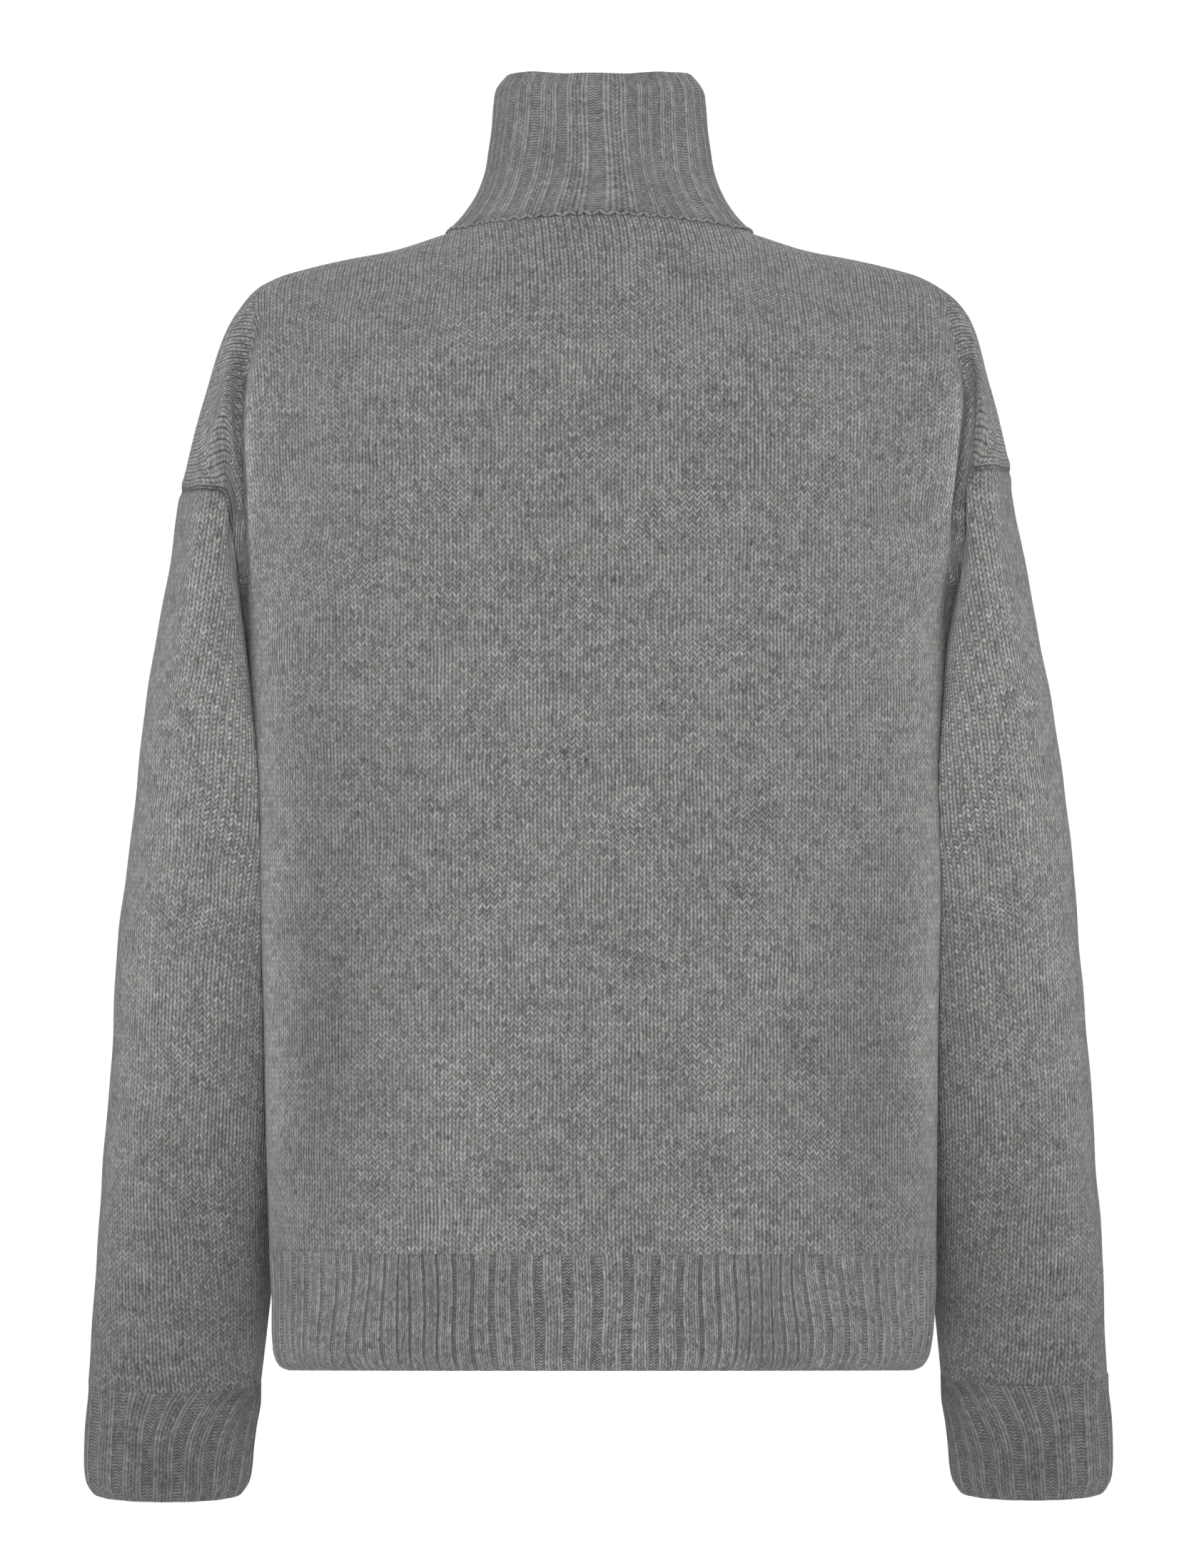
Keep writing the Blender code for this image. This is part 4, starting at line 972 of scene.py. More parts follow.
def knitted(name, kind, outer, inner, places, closed, flipped, finishes, painted_shading):
    """One piece of cloth, its outer and inner face closed by a rim along its edges, and its hairs."""
    count = outer[..., 0].size
    index = ring(np.arange(count).reshape(outer.shape[:2]), closed)

    def rim(line, near, far):
        made = np.stack([line[1:], line[:-1], line[:-1] + count, line[1:] + count], axis=-1)
        return made, np.stack([far, near, near, far], axis=1), 1

    quads, on_quads = corners_of(index).reshape(-1, 4), places.reshape(-1, 4, 2)
    parts = [
        (quads, on_quads, 0),
        (quads[:, ::-1] + count, on_quads[:, ::-1], 1),
        rim(index[0], places[0, :, 0], places[0, :, 1]),
        rim(index[-1, ::-1], places[-1, ::-1, 2], places[-1, ::-1, 3]),
    ]
    if not closed:
        parts.append(rim(index[::-1, 0], places[::-1, 0, 3], places[::-1, 0, 0]))
        parts.append(rim(index[:, -1], places[:, -1, 1], places[:, -1, 2]))
    faces, on_fabric = (np.concatenate([part[k] for part in parts]) for k in (0, 1))
    finish = np.concatenate([np.full(len(part[0]), part[2]) for part in parts])
    if flipped:
        faces, on_fabric = faces[:, ::-1], on_fabric[:, ::-1]
    *sides, yarn = finishes
    piece = new_piece(f"{name}_{kind}", np.stack([outer, inner]), faces.tolist(), sides)
    mesh = piece.data
    mesh.uv_layers.new(name="fabric").data.foreach_set("uv", on_fabric.astype(np.float32).ravel())
    mesh.polygons.foreach_set("material_index", finish.astype(np.int32))
    # Each point's painted light and shade, which the wool materials multiply their colour by.
    shade = mesh.attributes.new("painted_shading", "FLOAT", "POINT")
    shade.data.foreach_set("value", np.tile(painted_shading.ravel(), 2).astype(np.float32))
    mesh.shade_smooth()
    mesh.set_sharp_from_angle(angle=math.radians(SMOOTH_ANGLE))
    mesh.update()
    return piece, fuzz(name + "_hairs", ring(outer, closed), ring(outer - inner, closed), yarn)


def fuzz(name, outer, outs, yarn):
    """Loose hairs that stand out of a piece of cloth. Each is a thin closed spike."""
    rng = np.random.default_rng(len(name))
    corner = outer[:-1, :-1]
    sides = outer[:-1, 1:] - corner, outer[1:, :-1] - corner
    room = np.linalg.norm(np.cross(*sides), axis=-1).ravel()
    count = int(room.sum() / HAIR_ROOM)
    cells = rng.choice(len(room), count, p=room / room.sum())
    across, up = rng.random((2, count, 1))
    out, base, *steps = (grid.reshape(-1, 3)[cells] for grid in (outs[:-1, :-1], corner, *sides))
    out = unit(out)
    base = base + across * steps[0] + up * steps[1]
    aside = unit(np.cross(out, rng.normal(size=(count, 3))))
    way = unit(out * rng.uniform(*HAIR_OUT, (count, 1)) + aside * rng.uniform(*HAIR_ASIDE, (count, 1)))
    first = unit(np.cross(way, out))
    second = np.cross(way, first)
    points = np.empty((count, 4, 3))
    for k in range(3):
        turn = k * 2 * math.pi / 3
        round_hair = HAIR_THICKNESS / 2 * (math.cos(turn) * first + math.sin(turn) * second)
        points[:, k] = base - HAIR_DEPTH * out + round_hair
    points[:, 3] = base + way * rng.uniform(*HAIR_LENGTHS, (count, 1))
    faces = np.array([(0, 1, 3), (1, 2, 3), (2, 0, 3), (0, 2, 1)]) + 4 * np.arange(count)[:, None, None]
    return new_piece(name, points, faces.reshape(-1, 3).tolist(), [yarn])


def sunk(distance, depth, width):
    """How far a piece sinks at this distance from its seam."""
    return -depth * bell(distance, width)


def at_places(grid, rib_places, closed):
    """The grid's rows, read at shares of their length. rib_places has one row for each of them."""
    ends = ring(grid, closed)
    run = added_up(spacing(ends, 1).mean(axis=0))
    run /= run[-1]
    made = np.empty((*rib_places.shape, 3))
    for row, places in enumerate(rib_places):
        wanted = places % 1.0 if closed else np.clip(places, 0, 1)
        for axis in range(3):
            made[row, :, axis] = np.interp(wanted, run, ends[row, :, axis])
    return made


class Value:
    """What a node of a material gives. Reckoning with it adds further nodes."""

    def __init__(self, recipe, socket):
        self.recipe, self.socket = recipe, socket

    def math(self, operation, *others):
        return self.recipe.math(operation, self, *others)

    def __add__(self, other):
        return self.math("ADD", other)

    def __sub__(self, other):
        return self.math("SUBTRACT", other)

    def __rsub__(self, other):
        return self.recipe.math("SUBTRACT", other, self)

    def __mul__(self, other):
        return self.math("MULTIPLY", other)

    def __truediv__(self, size):
        return self * (1 / size)

    def __pow__(self, power):
        return self.math("POWER", power)

    def __abs__(self):
        return self.math("ABSOLUTE")

    def whole(self):
        return self.math("FLOOR")

    def part(self):
        """What is over the last whole number."""
        return self.math("FRACT")

    def at_least(self, least):
        return self.math("MAXIMUM", least)

    def around(self, middle, spread):
        """The value, given from 0 to 1, spread out to both sides of middle."""
        return self * (2 * spread) + (middle - spread)

    def off_whole(self, start, width):
        """1 where the value minus start is a whole number, falling to 0 at width to both sides."""
        return (1 - abs((self - (start - 0.5)).part() - 0.5) / width).at_least(0.0)

    def hump(self):
        """Half a sine over each whole number, so it is 0 at whole numbers and 1 halfway."""
        return (self.part() * math.pi).math("SINE")


class Recipe:
    """A material that is mixed node by node."""

    def __init__(self, name):
        self.material = bpy.data.materials.new(name)
        self.material.use_nodes = True
        self.tree = self.material.node_tree

    def node(self, kind, inputs=(), **settings):
        made = self.tree.nodes.new(kind)
        for key, setting in settings.items():
            setattr(made, key, setting)
        for socket, given in inputs:
            self.feed(made.inputs[socket], given)
        return made

    def feed(self, socket, given):
        given = given.socket if isinstance(given, Value) else given
        if isinstance(given, bpy.types.NodeSocket):
            self.tree.links.new(given, socket)
        else:
            socket.default_value = given

    def value(self, kind, inputs=(), output=0, **settings):
        return Value(self, self.node(kind, inputs, **settings).outputs[output])

    def math(self, operation, *given):
        return self.value("ShaderNodeMath", enumerate(given), operation=operation)

    def split(self, places):
        """The coordinates of places."""
        return [Value(self, output) for output in self.node("ShaderNodeSeparateXYZ", [(0, places)]).outputs]

    def noise(self, x, y, z=0.0, scale=1.0, detail=1.0):
        place = self.node("ShaderNodeCombineXYZ", enumerate((x, y, z))).outputs[0]
        return self.value("ShaderNodeTexNoise", [("Vector", place), ("Scale", scale), ("Detail", detail)])

    def surface(self, **given):
        """The finished material, from what its surface is given."""
        for name, what in given.items():
            self.feed(self.tree.nodes["Principled BSDF"].inputs[name], what)
        return self.material

    def woollen(self, colour, shade, relief, strength=1.0):
        """The dull, slightly brushed surface of wool."""
        dyed = self.node("ShaderNodeVectorMath", [(0, colour), ("Scale", shade)], operation="SCALE")
        bumps = [("Strength", strength), ("Distance", STITCH_RELIEF), ("Height", relief)]
        bump = self.node("ShaderNodeBump", bumps)
        return self.surface(**{"Base Color": dyed.outputs[0], "Normal": bump.outputs[0]}, **BRUSHED)


def stitch_legs(wale, course, row_gap, leg_gap, wale_gap=0.0):
    """The height of plain knit, columns of nested Vs, and a number that tells its rows of stitches apart.

    wale and course count stitches across and up. row_gap is how deep the gap above each leg of a V is,
    leg_gap how deep the gaps beside it are, and wale_gap how much deeper they are between two wales.
    """
    outward = abs(wale.part() - 0.5) * 2
    rise = course - outward * STITCH_RISE
    between_rows = 1 - rise.hump() ** ROW_ROUND
    between_legs = 1 - outward.hump() ** LEG_ROUND
    gap = outward**WALE_ROUND * wale_gap + between_legs * leg_gap
    return (1 - between_rows * row_gap) * (1 - gap).at_least(0.0), rise


def purl_bars(wale, course):
    """The height of the back of the knit: wavy bars across the wales."""
    wave = (wale * (2 * math.pi)).math("SINE")
    return (course + wave * BAR_WAVE).hump() ** BAR_ROUND


def loose_yarn(name, brightness=1.0):
    """The yarn of hairs and single stitches, which have no map of the fabric."""
    recipe = Recipe(name)
    places = recipe.split(recipe.node("ShaderNodeTexCoord").outputs["Object"])
    streak = recipe.noise(*places, scale=1 / STREAK_LENGTH, detail=3.0)
    hairs = recipe.noise(*places, scale=1 / HAIR_SIZE, detail=2.0)
    return recipe.woollen(COOL_GREY, streak.around(brightness, STREAK_SPREAD), hairs, 0.6)


def wool(name, kind, brightness=1.0, crease=0.0, gather_shade=0.0, spread=1.0):
    """Melange wool, knitted plain, ribbed or seen from its inside.

    crease is the painted shade at a rib's edges, gather_shade the painted shade of the little folds at its
    seam, and spread how uneven the yarn's shades are. The map counts metres across plain knit, but ribs
    across a rib.
    """
    recipe = Recipe(name)
    across, up, _ = recipe.split(recipe.node("ShaderNodeUVMap", uv_map="fabric").outputs[0])
    wobble = recipe.noise(across / YARN_WOBBLE_SIZE, up / YARN_WOBBLE_SIZE).around(0.0, 1.0)
    metres = across * RIB_WIDTH if kind == "rib" else across

    def patches(width, height=None, z=0.0, detail=1.0):
        return recipe.noise(metres / width, up / (height or width), z, detail=detail)

    if kind == "rib":
        share = across.part()
        course = wobble * RIB_COURSE_WOBBLE + up / RIB_COURSE
        wale = (share - RIB_PURL_SHARE) * (RIB_WALES / RIB_KNIT_SHARE)
        ends = (0.3, 0.5, ROW_GAP, EDGE_ROW_GAP)
        row_gap = recipe.value("ShaderNodeMapRange", enumerate((abs(wale * (2 / RIB_WALES) - 1), *ends)))
        legs, rise = stitch_legs(wale, course * (RIB_COURSE / KNIT_RIB_COURSE), row_gap, LEG_GAP)
        bars = purl_bars(share * (2 / RIB_PURL_SHARE), course)
        in_purl = share.math("LESS_THAN", RIB_PURL_SHARE)
        height = recipe.value("ShaderNodeMix", [(0, in_purl), (2, legs), (3, bars)])
        leg = (across * (2 * RIB_WALES / RIB_KNIT_SHARE)).whole()
        # Painted shade in the crevices at a rib's edges and in little gathers above the collar's chain.
        knit_edge, purl_edge = (across.off_whole(edge, CREASE_WIDTH) for edge in (RIB_PURL_SHARE, 0.0))
        dark = knit_edge * (KNIT_EDGE_CREASE * crease) + purl_edge * crease
        dark = dark * patches(CLOUD_SIZE, z=2.0).around(1.0, CREASE_SPREAD).at_least(0.1)
        stroke = patches(*GATHER_SIZE, z=6.0, detail=2.0).around(*GATHER_SPREAD).at_least(0.0)
        fade = recipe.math("POWER", math.e, up / -GATHER_FADE)
        dark = (dark + stroke * fade * gather_shade).math("MINIMUM", DARKEST)
    else:
        wale = wobble * WALE_WOBBLE + across / WALE
        course = wobble * COURSE_WOBBLE + up / COURSE
        leg = (wale * 2).whole()
        dark = 0.0
        if kind == "plain":
            order = patches(ORDER_SIZE, z=9.0, detail=2.0)
            row_gap, leg_gap = order.around(ROW_GAP, -ORDER_SPREAD), order.around(LEG_GAP, ORDER_SPREAD)
            ends = (*TOP_WALE_STRETCH, WALE_GAP, TOP_WALE_GAP)
            wale_gap = recipe.value("ShaderNodeMapRange", enumerate((up, *ends)))
            height, rise = stitch_legs(wale, course, row_gap, leg_gap, wale_gap)
        else:
            height, rise = purl_bars(wale, course), course
    yarn = rise.whole()
    number = recipe.node("ShaderNodeCombineXYZ", [(0, leg), (1, yarn)]).outputs[0]
    stitch = recipe.value("ShaderNodeTexWhiteNoise", [("Vector", number)], noise_dimensions="2D")
    fleck = patches(FLECK_SIZE)
    cloud = patches(CLOUD_SIZE, CLOUD_HEIGHT, detail=3.0)
    shade = recipe.noise(metres / STREAK_LENGTH, yarn * YARN_APART, detail=1.5)
    shade = shade.around(brightness, spread * STREAK_SPREAD)
    for noise, change in ((fleck, FLECK_SPREAD), (cloud, CLOUD_SPREAD), (stitch, STITCH_SPREAD)):
        shade = shade + noise.around(0.0, spread * change)
    # Painted shade in the gaps between stitches and in creases and gathers, then the piece's painted light
    # and shade.
    shade = shade * (height * (1 - GAP_SHADE) + GAP_SHADE) * (1 - dark)
    shade = shade * recipe.value("ShaderNodeAttribute", output="Fac", attribute_name="painted_shading")
    tint = patches(TINT_SIZE, z=4.0).around(0.5, TINT_SPREAD)
    greys = [(0, tint), (6, (*COOL_GREY, 1.0)), (7, (*WARM_GREY, 1.0))]
    colour = recipe.value("ShaderNodeMix", greys, 2, data_type="RGBA")
    return recipe.woollen(colour, shade, patches(HAIR_SIZE, detail=2.0) * HAIR_RELIEF + height)


def beside_arm(z):
    """1 at the levels where the sleeve lies against the body."""
    above, top, foot, below = BESIDE_ARM
    return eased((above - z) / (above - top)) * eased((z - below) / (foot - below))


def panel(name, face, finishes):
    """The back or the front: plain knit, from the hem rib to the shoulders and round the upper arms."""
    flipped = face < 0
    grid = panel_grid(face)
    x, _, z = np.moveaxis(grid, -1, 0)
    ways = outwards(grid, False, flipped)
    facing = np.abs(ways[..., 1])
    across, up = fabric_places(grid, False)
    from_left, from_right = (np.abs(across - across[:, [column]]) for column in (0, -1))
    from_side = np.minimum(from_left, from_right)
    from_top = up[-1:] - up
    above = eased((np.arange(len(grid)) - BELOW_ARMS) / 6)[:, None]
    on_lobe = eased((z - LOBE_FOOT_Z) / 16) * eased((np.abs(x) - LOBE_X) / 8)
    lift = folds(grid, ways, PANEL_FOLDS[name], FOLD_TAPER)
    lift += slow_waves(grid, len(name), *PANEL_WAVES) * eased(facing / 0.6)
    lift += on_lobe * (ARMHOLE_LIP * bell(from_side, LIP_WIDTH) + sunk(from_side, *LIP_DIP))
    lift += (1 - above) * sunk(from_side, *SIDE_DIP) + sunk(from_top, *TOP_DIP)
    # Painted shade along the armhole and top seams, painted light and shade in patches and along the folds,
    # painted rim light along the sides and painted light beside the arms.
    painted_shading = 1 - on_lobe * SEAM_SHADE * bell(from_side, SEAM_SHADE_WIDTH)
    painted_shading -= TOP_SHADE * bell(from_top, TOP_SHADE_WIDTH)
    painted_shading *= painted_patches(grid, BACK_PAINTED_PATCHES if face > 0 else FRONT_PAINTED_PATCHES)
    painted_shading += (1 - on_lobe) * SIDE_PAINTED_RIM_LIGHT * bell(from_side, SIDE_RIM_WIDTH)
    beside = beside_arm(z) * eased((RIM_X - np.abs(x)) / 6) * eased((0.8 - facing) / 0.5)
    painted_shading += (BACK_PAINTED_LIGHT if face > 0 else FRONT_PAINTED_LIGHT) * beside
    painted_shading += folds(grid, ways, FOLD_PAINTED_SHADING[name], TONE_TAPER)
    if face > 0:
        leaning = np.exp(-from_top / NECK_LEAN_DEPTH) * np.exp(-((x / NECK_LEAN_WIDTH) ** 4))
        across = across + NECK_LEAN * leaning

    places = corner_places(across, up)
    for side, edge in ((1, from_left), (-1, from_right)):
        first, last = sorted((column_of("crease", side), column_of("armhole", side)))
        lobe = slice(BELOW_ARMS + sum(YOKE_STEPS[:2]), None), slice(first, last + 1)
        round_arm = LOBE_UP + (up[lobe] - up[-1:, lobe[1]]) * face
        places[lobe[0], first:last] = corner_places(LOBE_ACROSS - edge[lobe], round_arm)
    outer = grid + ways * lift[..., None]
    inner = inside_of(outer, ways, False)
    return knitted(name, "knit", outer, inner, places * MM, False, flipped, finishes, painted_shading), grid


def sleeve(name, loop, side, finishes):
    """A sleeve: a plain knit tube from the dropped armhole to its cuff."""
    grid, turns = sleeve_grid(loop, side)
    ways = outwards(grid, True, side < 0)
    z = grid[..., 2]
    across, _ = fabric_places(grid, True)
    down = sleeve_rows()[1] * spacing(grid).sum(axis=0).mean() + np.zeros_like(across)
    from_armhole = down[:, :-1]
    lift = folds(grid, ways, SLEEVE_FOLDS[name], FOLD_TAPER)
    lift += slow_waves(grid, len(name) + 3, *SLEEVE_WAVES)
    lift *= 1 - eased(np.cos(turns) / 0.6)
    away_from_body = eased((0.6 - np.cos(turns)) / 0.8)
    lift += away_from_body * sunk(from_armhole, *SLEEVE_DIP)
    # Painted shade along the armhole seam, painted light and shade down the sleeve, and painted light where
    # it lies against the body.
    painted_shading = 1 - away_from_body * SEAM_SHADE * bell(from_armhole, SEAM_SHADE_WIDTH)
    painted_shading *= looked_up(z, SLEEVE_PAINTED_SHADING[::-1])
    at_back = FRONT_ARM_SHARE + (1 - FRONT_ARM_SHARE) * eased(np.sin(turns) + 0.6)
    painted_shading += SLEEVE_PAINTED_LIGHT * at_back * beside_arm(z) * eased((-side * ways[..., 0] - 0.45) / 0.5)
    painted_shading += INNER_ARM_PAINTED_LIGHT * at_back * bell(z - INNER_ARM[0], INNER_ARM[1]) * eased(np.cos(turns) + 0.3)
    outer = grid + ways * lift[..., None]
    inner = inside_of(outer, ways, True)
    places = corner_places(across, -down) * MM
    return knitted(name, "knit", outer, inner, places, True, side < 0, finishes, painted_shading), grid, turns


def rib_columns(starts, run, closed):
    """Where the columns of points lie, as shares of the length, and the number of the rib of each."""
    rib_keys = np.array([row[0] for row in RIB_PROFILE])
    pitches = np.diff(starts)[:, None]
    purl = RIB_PURL_SHARE - PURL_CLOSED * eased((WIDE_RIB - pitches * run) / (WIDE_RIB - NARROW_RIB))
    knit = (rib_keys - RIB_PURL_SHARE) / RIB_KNIT_SHARE
    in_purl = (1 + knit * RIB_KNIT_SHARE / RIB_PURL_SHARE) * purl
    keys = np.where(knit < 0, in_purl, purl + knit * (1 - purl))
    places = (np.asarray(starts)[:-1, None] + pitches * keys).ravel()
    numbers = (np.arange(len(pitches))[:, None] + rib_keys).ravel()
    if closed:
        return places, numbers
    return np.append(places, 1.0), np.append(numbers, float(len(pitches)))


def ribbed(name, grid, closed, flipped, starts, relief, wander, finishes, painted_lightness=1.0,
           shade=RIB_SHADE, seam_painted_shade=RIB_SEAM_SHADE, strengths=EVEN, painted_shades=EVEN):
    """A ribbed piece. starts holds the shares of its length at which its ribs start, and 1 at the end.

    A tube's first row is its seam, and a flat piece's is its free edge.
    """
    places, numbers = rib_columns(starts, spacing(grid[len(grid) // 2]).sum(), closed)
    down = added_up(spacing(grid).mean(axis=1))[:, None]
    from_free, from_seam = (down[-1] - down, down) if closed else (down, down[-1] - down)
    rib_places = places + wander(places, numbers, from_seam)
    if not closed:
        rib_places[:, 0], rib_places[:, -1] = 0.0, 1.0
    base = at_places(grid, rib_places, closed)
    ways = unit(at_places(outwards(grid, closed, flipped), rib_places, closed))
    profile = looked_up(numbers % 1.0, (*RIB_PROFILE, (1.0, RIB_PROFILE[0][1])))
    strength = looked_up(from_free, relief) * looked_up(places, strengths)
    height = (profile - LEVEL_RIB) * RIB_RELIEF * strength
    lip = LIP * (1 - np.sqrt(1 - (1 - np.clip(from_free / LIP, 0, 1)) ** 2))
    seam_line = from_seam - SEAM_WAVE * (1 + np.sin(numbers * 17.0 + np.sin(numbers * 5.0)))
    # Painted shade in the rib valleys and along the seam, and painted lightness along the piece as given.
    painted_shading = painted_lightness * (1 - shade * (1 - profile) * strength)
    painted_shading = painted_shading * (1 - seam_painted_shade * bell(seam_line, RIB_SEAM_WIDTH)) * looked_up(places, painted_shades)
    outer = base + ways * (height - lip)[..., None]
    inner = base + ways * (INNER_RELIEF * height - RIB_WALL + lip)[..., None]
    if closed:
        numbers = np.append(numbers, float(len(starts) - 1))
    up = (from_seam if closed else from_free) + 0 * numbers
    on_fabric = corner_places(numbers + 0 * up, up * MM)
    return knitted(name, "rib", outer, inner, on_fabric, closed, flipped, finishes, painted_shading)


def ball():
    """The points and faces of a ball. Its faces look inwards, because the links' axes mirror it."""
    turns = np.linspace(0.0, 2 * math.pi, BALL_SEGMENTS, endpoint=False)
    tilts = np.linspace(0.0, math.pi, BALL_RINGS + 1)[1:-1, None]
    round_z = np.sin(tilts)
    belt = np.stack([round_z * np.cos(turns), round_z * np.sin(turns), np.cos(tilts) + 0 * turns], -1)
    points = np.vstack([belt.reshape(-1, 3), (0, 0, 1), (0, 0, -1)])
    top, foot = len(points) - 2, len(points) - 1
    index = ring(np.arange(top).reshape(-1, BALL_SEGMENTS))
    faces = corners_of(index).reshape(-1, 4).tolist()
    faces += [[int(b), int(a), top] for a, b in zip(index[0], index[0, 1:])]
    faces += [[int(a), int(b), foot] for a, b in zip(index[-1], index[-1, 1:])]
    return points, faces


def linked_seam(name, loop, ways, finish):
    """The chain of loops that links the collar to the neckline."""
    run = added_up(spacing(np.vstack([loop, loop[:1]])))
    count = round(run[-1] / LINK_PITCH)
    places = run[-1] * np.arange(count) / count
    middles, outs = (
        np.stack([np.interp(places, run, [*column, column[0]]) for column in table.T], 1)
        for table in (loop, ways)
    )
    outs = unit(outs)
    tangents = unit(np.roll(middles, -1, axis=0) - np.roll(middles, 1, axis=0))
    ups = np.cross(outs, tangents)
    pattern, pattern_faces = ball()
    rng = np.random.default_rng(5)
    points, faces = [], []
    for k in range(count):
        lean, size, rise = rng.uniform(*LINK_SPREADS)
        lean = math.radians(LINK_LEAN + lean) * (1 if k % 2 else -1)
        axes = (
            tangents[k] * math.cos(lean) + ups[k] * math.sin(lean),
            outs[k],
            ups[k] * math.cos(lean) - tangents[k] * math.sin(lean),
        )
        middle = middles[k] + outs[k] * LINK_OUT + ups[k] * (LINK_UP + rise)
        faces.extend([i + k * len(pattern) for i in face] for face in pattern_faces)
        points.append(pattern * LINK_SIZE * size @ axes + middle)
    piece = new_piece(name, np.array(points), faces, [finish])
    piece.data.shade_smooth()
    return piece


def evenly(room):
    """Places that divide the room beside the last purl column into ribs."""
    count = round(room / SIDE_RIB_PITCH)
    return room * np.arange(1, count) / count


def hem_starts(grid, face):
    """The shares of a hem's length at which its ribs start, and 1 at the end."""
    row = grid[len(grid) // 2]
    run = added_up(spacing(row))
    purls = face * np.array(HEM_PURLS[::face])
    middles = np.interp(-purls, -row[:, 0], run)
    before, after = evenly(middles[0]), evenly(run[-1] - middles[-1])
    middles = np.concatenate([middles[0] - before[::-1], middles, middles[-1] + after])
    starts = middles[1:] - RIB_PURL_SHARE / 2 * np.diff(middles)
    return np.concatenate([[0.0], starts, [run[-1]]]) / run[-1]


def swaying(waves, numbers, from_seam):
    """How far ribs with these numbers sway aside at each height."""
    return sum(
        height * np.sin(from_seam / length + numbers * turn + start) for height, length, turn, start in waves
    )


def hem_wander(face):
    """How far a hem's ribs are aside at each height, as a share of its length."""

    def wander(places, numbers, from_seam):
        lean = looked_up(places if face > 0 else 1 - places, HEM_LEANS) * face
        lean = lean * (eased(from_seam / HEM_DROP) - LEAN_MIDDLE)
        return (lean + swaying(HEM_SWAY, numbers, from_seam)) / HEM_LENGTH

    return wander


def cuff_wander(side):
    """How far a cuff's ribs are aside at each height, as a share of its length."""

    def wander(places, numbers, from_seam):
        turn = places * 2 * math.pi
        swing = CUFF_SWING[0] * np.sin(turn) + CUFF_SWING[1] * np.sin(2 * turn)
        swing = swing * np.exp(-from_seam / CUFF_SWING_DEPTH[side])
        return (swaying(CUFF_SWAY, numbers, from_seam) - swing) / CUFF_LENGTH

    return wander


def collar_wander(places, numbers, from_seam):
    """How far the collar's ribs are aside at each height, as a share of its length."""
    return (swaying(COLLAR_SWAY, numbers, from_seam) + COLLAR_ASIDE) / COLLAR_LENGTH


def softbox(name, place, watts):
    """A large square lamp, turned towards the sweater and hidden from the camera."""
    light = bpy.data.lights.new(name, "AREA")
    light.shape = "SQUARE"
    light.size = LAMP_SIZE
    light.energy = watts
    lamp = bpy.data.objects.new(name, light)
    lamp.location = place
    lamp.rotation_euler = (Vector(LAMP_AIM) - Vector(place)).to_track_quat("-Z", "Y").to_euler()
    lamp.visible_camera = False
    bpy.context.scene.collection.objects.link(lamp)


def studio():
    """The floor, the lamps, the pale surroundings and the camera."""
    scene = bpy.context.scene
    bpy.ops.object.select_all(action="DESELECT")
    bpy.ops.mesh.primitive_circle_add(vertices=FLOOR_SIDES, radius=FLOOR_RADIUS, fill_type="NGON",
                                      location=(0, 0, FLOOR_Z))
    floor = bpy.context.object
    floor.name = "floor"
    floor.data.transform(floor.matrix_world)
    floor.matrix_world.identity()
    paint = Recipe("pale_floor")
    place = paint.node("ShaderNodeTexCoord").outputs["Object"]
    grain = paint.value("ShaderNodeTexNoise", [("Vector", place), ("Scale", FLOOR_GRAIN)])
    bump = paint.value("ShaderNodeBump", [("Strength", FLOOR_BUMP), ("Height", grain)])
    paint.surface(**{"Base Color": FLOOR_COLOUR, "Roughness": FLOOR_ROUGHNESS, "Normal": bump})
    floor.data.materials.append(paint.material)

    for lamp in LAMPS:
        softbox(*lamp)

    scene.world = bpy.data.worlds.new("studio")
    scene.world.use_nodes = True
    tree = scene.world.node_tree
    seen, lighting = tree.nodes["Background"], tree.nodes.new("ShaderNodeBackground")
    for node, strength in ((seen, SEEN_LIGHT), (lighting, FILL_LIGHT)):
        node.inputs["Color"].default_value = (*STUDIO_WHITE, 1.0)
        node.inputs["Strength"].default_value = strength
    rays, mix = (tree.nodes.new(kind) for kind in ("ShaderNodeLightPath", "ShaderNodeMixShader"))
    tree.links.new(rays.outputs["Is Camera Ray"], mix.inputs["Fac"])
    tree.links.new(lighting.outputs[0], mix.inputs[1])
    tree.links.new(seen.outputs[0], mix.inputs[2])
    tree.links.new(mix.outputs[0], tree.nodes["World Output"].inputs["Surface"])

    data = bpy.data.cameras.new("camera")
    data.sensor_width = FILM_WIDTH
    data.lens = CAMERA_DISTANCE * FILM_WIDTH / VIEW_HEIGHT
    data.clip_end = FARTHEST
    camera = bpy.data.objects.new("camera", data)
    camera.location = (0.0, CAMERA_DISTANCE, VIEW_MIDDLE_Z)
    camera.rotation_euler = (math.radians(90), 0.0, math.radians(180))
    scene.collection.objects.link(camera)
    scene.camera = camera
    scene.view_settings.view_transform = "Standard"


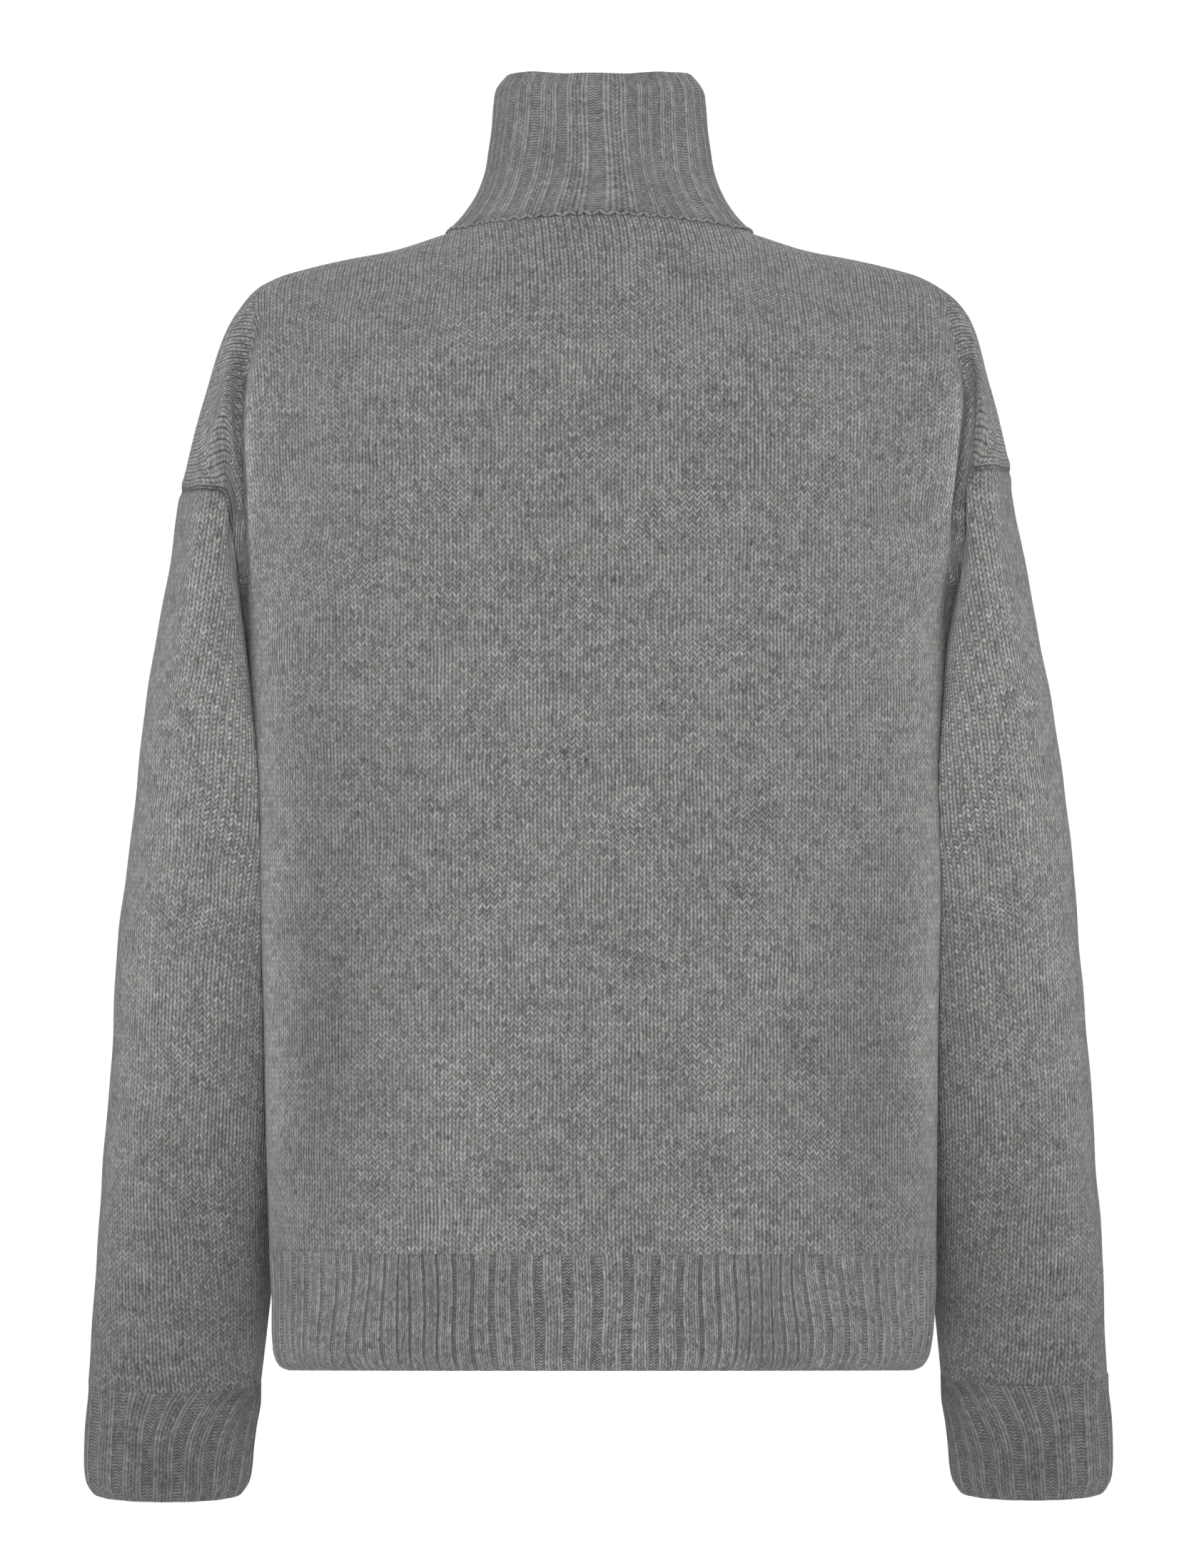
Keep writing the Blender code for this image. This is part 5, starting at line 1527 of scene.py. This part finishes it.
def main():
    studio()
    plain = wool("wool_plain", "plain")
    rib = wool("wool_rib", "rib", RIB_TONE, RIB_CREASE, spread=YARN_SPREADS["hem"])
    soft_rib = wool("wool_soft_rib", "rib", RIB_TONE, COLLAR_CREASE, spread=YARN_SPREADS["cuff"])
    collar_rib = wool("wool_collar", "rib", COLLAR_TONE, COLLAR_CREASE, GATHER_SHADE, YARN_SPREADS["collar"])
    inside = wool("wool_inside", "inside", INSIDE_TONE)
    rib_inside = wool("wool_rib_inside", "rib", INSIDE_TONE)
    yarn = loose_yarn("wool_yarn")
    link_yarn = loose_yarn("wool_link", LINK_TONE)

    pieces, grids = {}, {}
    for name, face in (("back", 1), ("front", -1)):
        pieces[name], grids[name] = panel(name, face, (plain, inside, yarn))
        hem, grid = name + "_hem", hem_grid(face)
        pieces[hem] = ribbed(hem, grid, False, face < 0, hem_starts(grid, face), HEM_RELIEF, hem_wander(face),
                             (rib, rib_inside, yarn), strengths=HEM_STRENGTHS, painted_shades=HEM_PAINTED_SHADING)
    for side, word in ((1, "left"), (-1, "right")):
        arm, cuff = word + "_sleeve", word + "_cuff"
        loop = armhole_loop(grids["back"], grids["front"], side)
        pieces[arm], grid, turns = sleeve(arm, loop, side, (plain, inside, yarn))
        pieces[cuff] = ribbed(cuff, cuff_grid(grid[-1], turns, side), True, side < 0,
                              np.linspace(0, 1, CUFF_RIBS + 1), CUFF_RELIEF, cuff_wander(side),
                              (soft_rib, rib_inside, yarn), CUFF_PAINTED_SHADE, CUFF_SHADE)
    collar = collar_grid(grids["back"], grids["front"])
    neck_columns = grids["back"].shape[1] - 1 - 2 * columns_outside_neck()
    lengths = spacing(ring(collar), 1).mean(axis=0)
    back_share = lengths[:neck_columns].sum() / lengths.sum()
    at_back = np.linspace(0, back_share, COLLAR_BACK_RIBS + 1)
    at_front = np.linspace(back_share, 1, COLLAR_FRONT_RIBS + 1)
    pieces["collar"] = ribbed("collar", collar, True, False, [*at_back, *at_front[1:]], COLLAR_RELIEF,
                              collar_wander, (collar_rib, rib_inside, yarn), 1.0, COLLAR_SHADE, COLLAR_SEAM_SHADE)
    seam_ways = outwards(collar, True, False)[0]
    pieces["collar"] += (linked_seam("neck_linking", collar[0], seam_ways, link_yarn),)

    for name, (cloth, *extras) in pieces.items():
        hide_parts(name)
        for piece in (cloth, *extras):
            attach(piece, "root")


main()
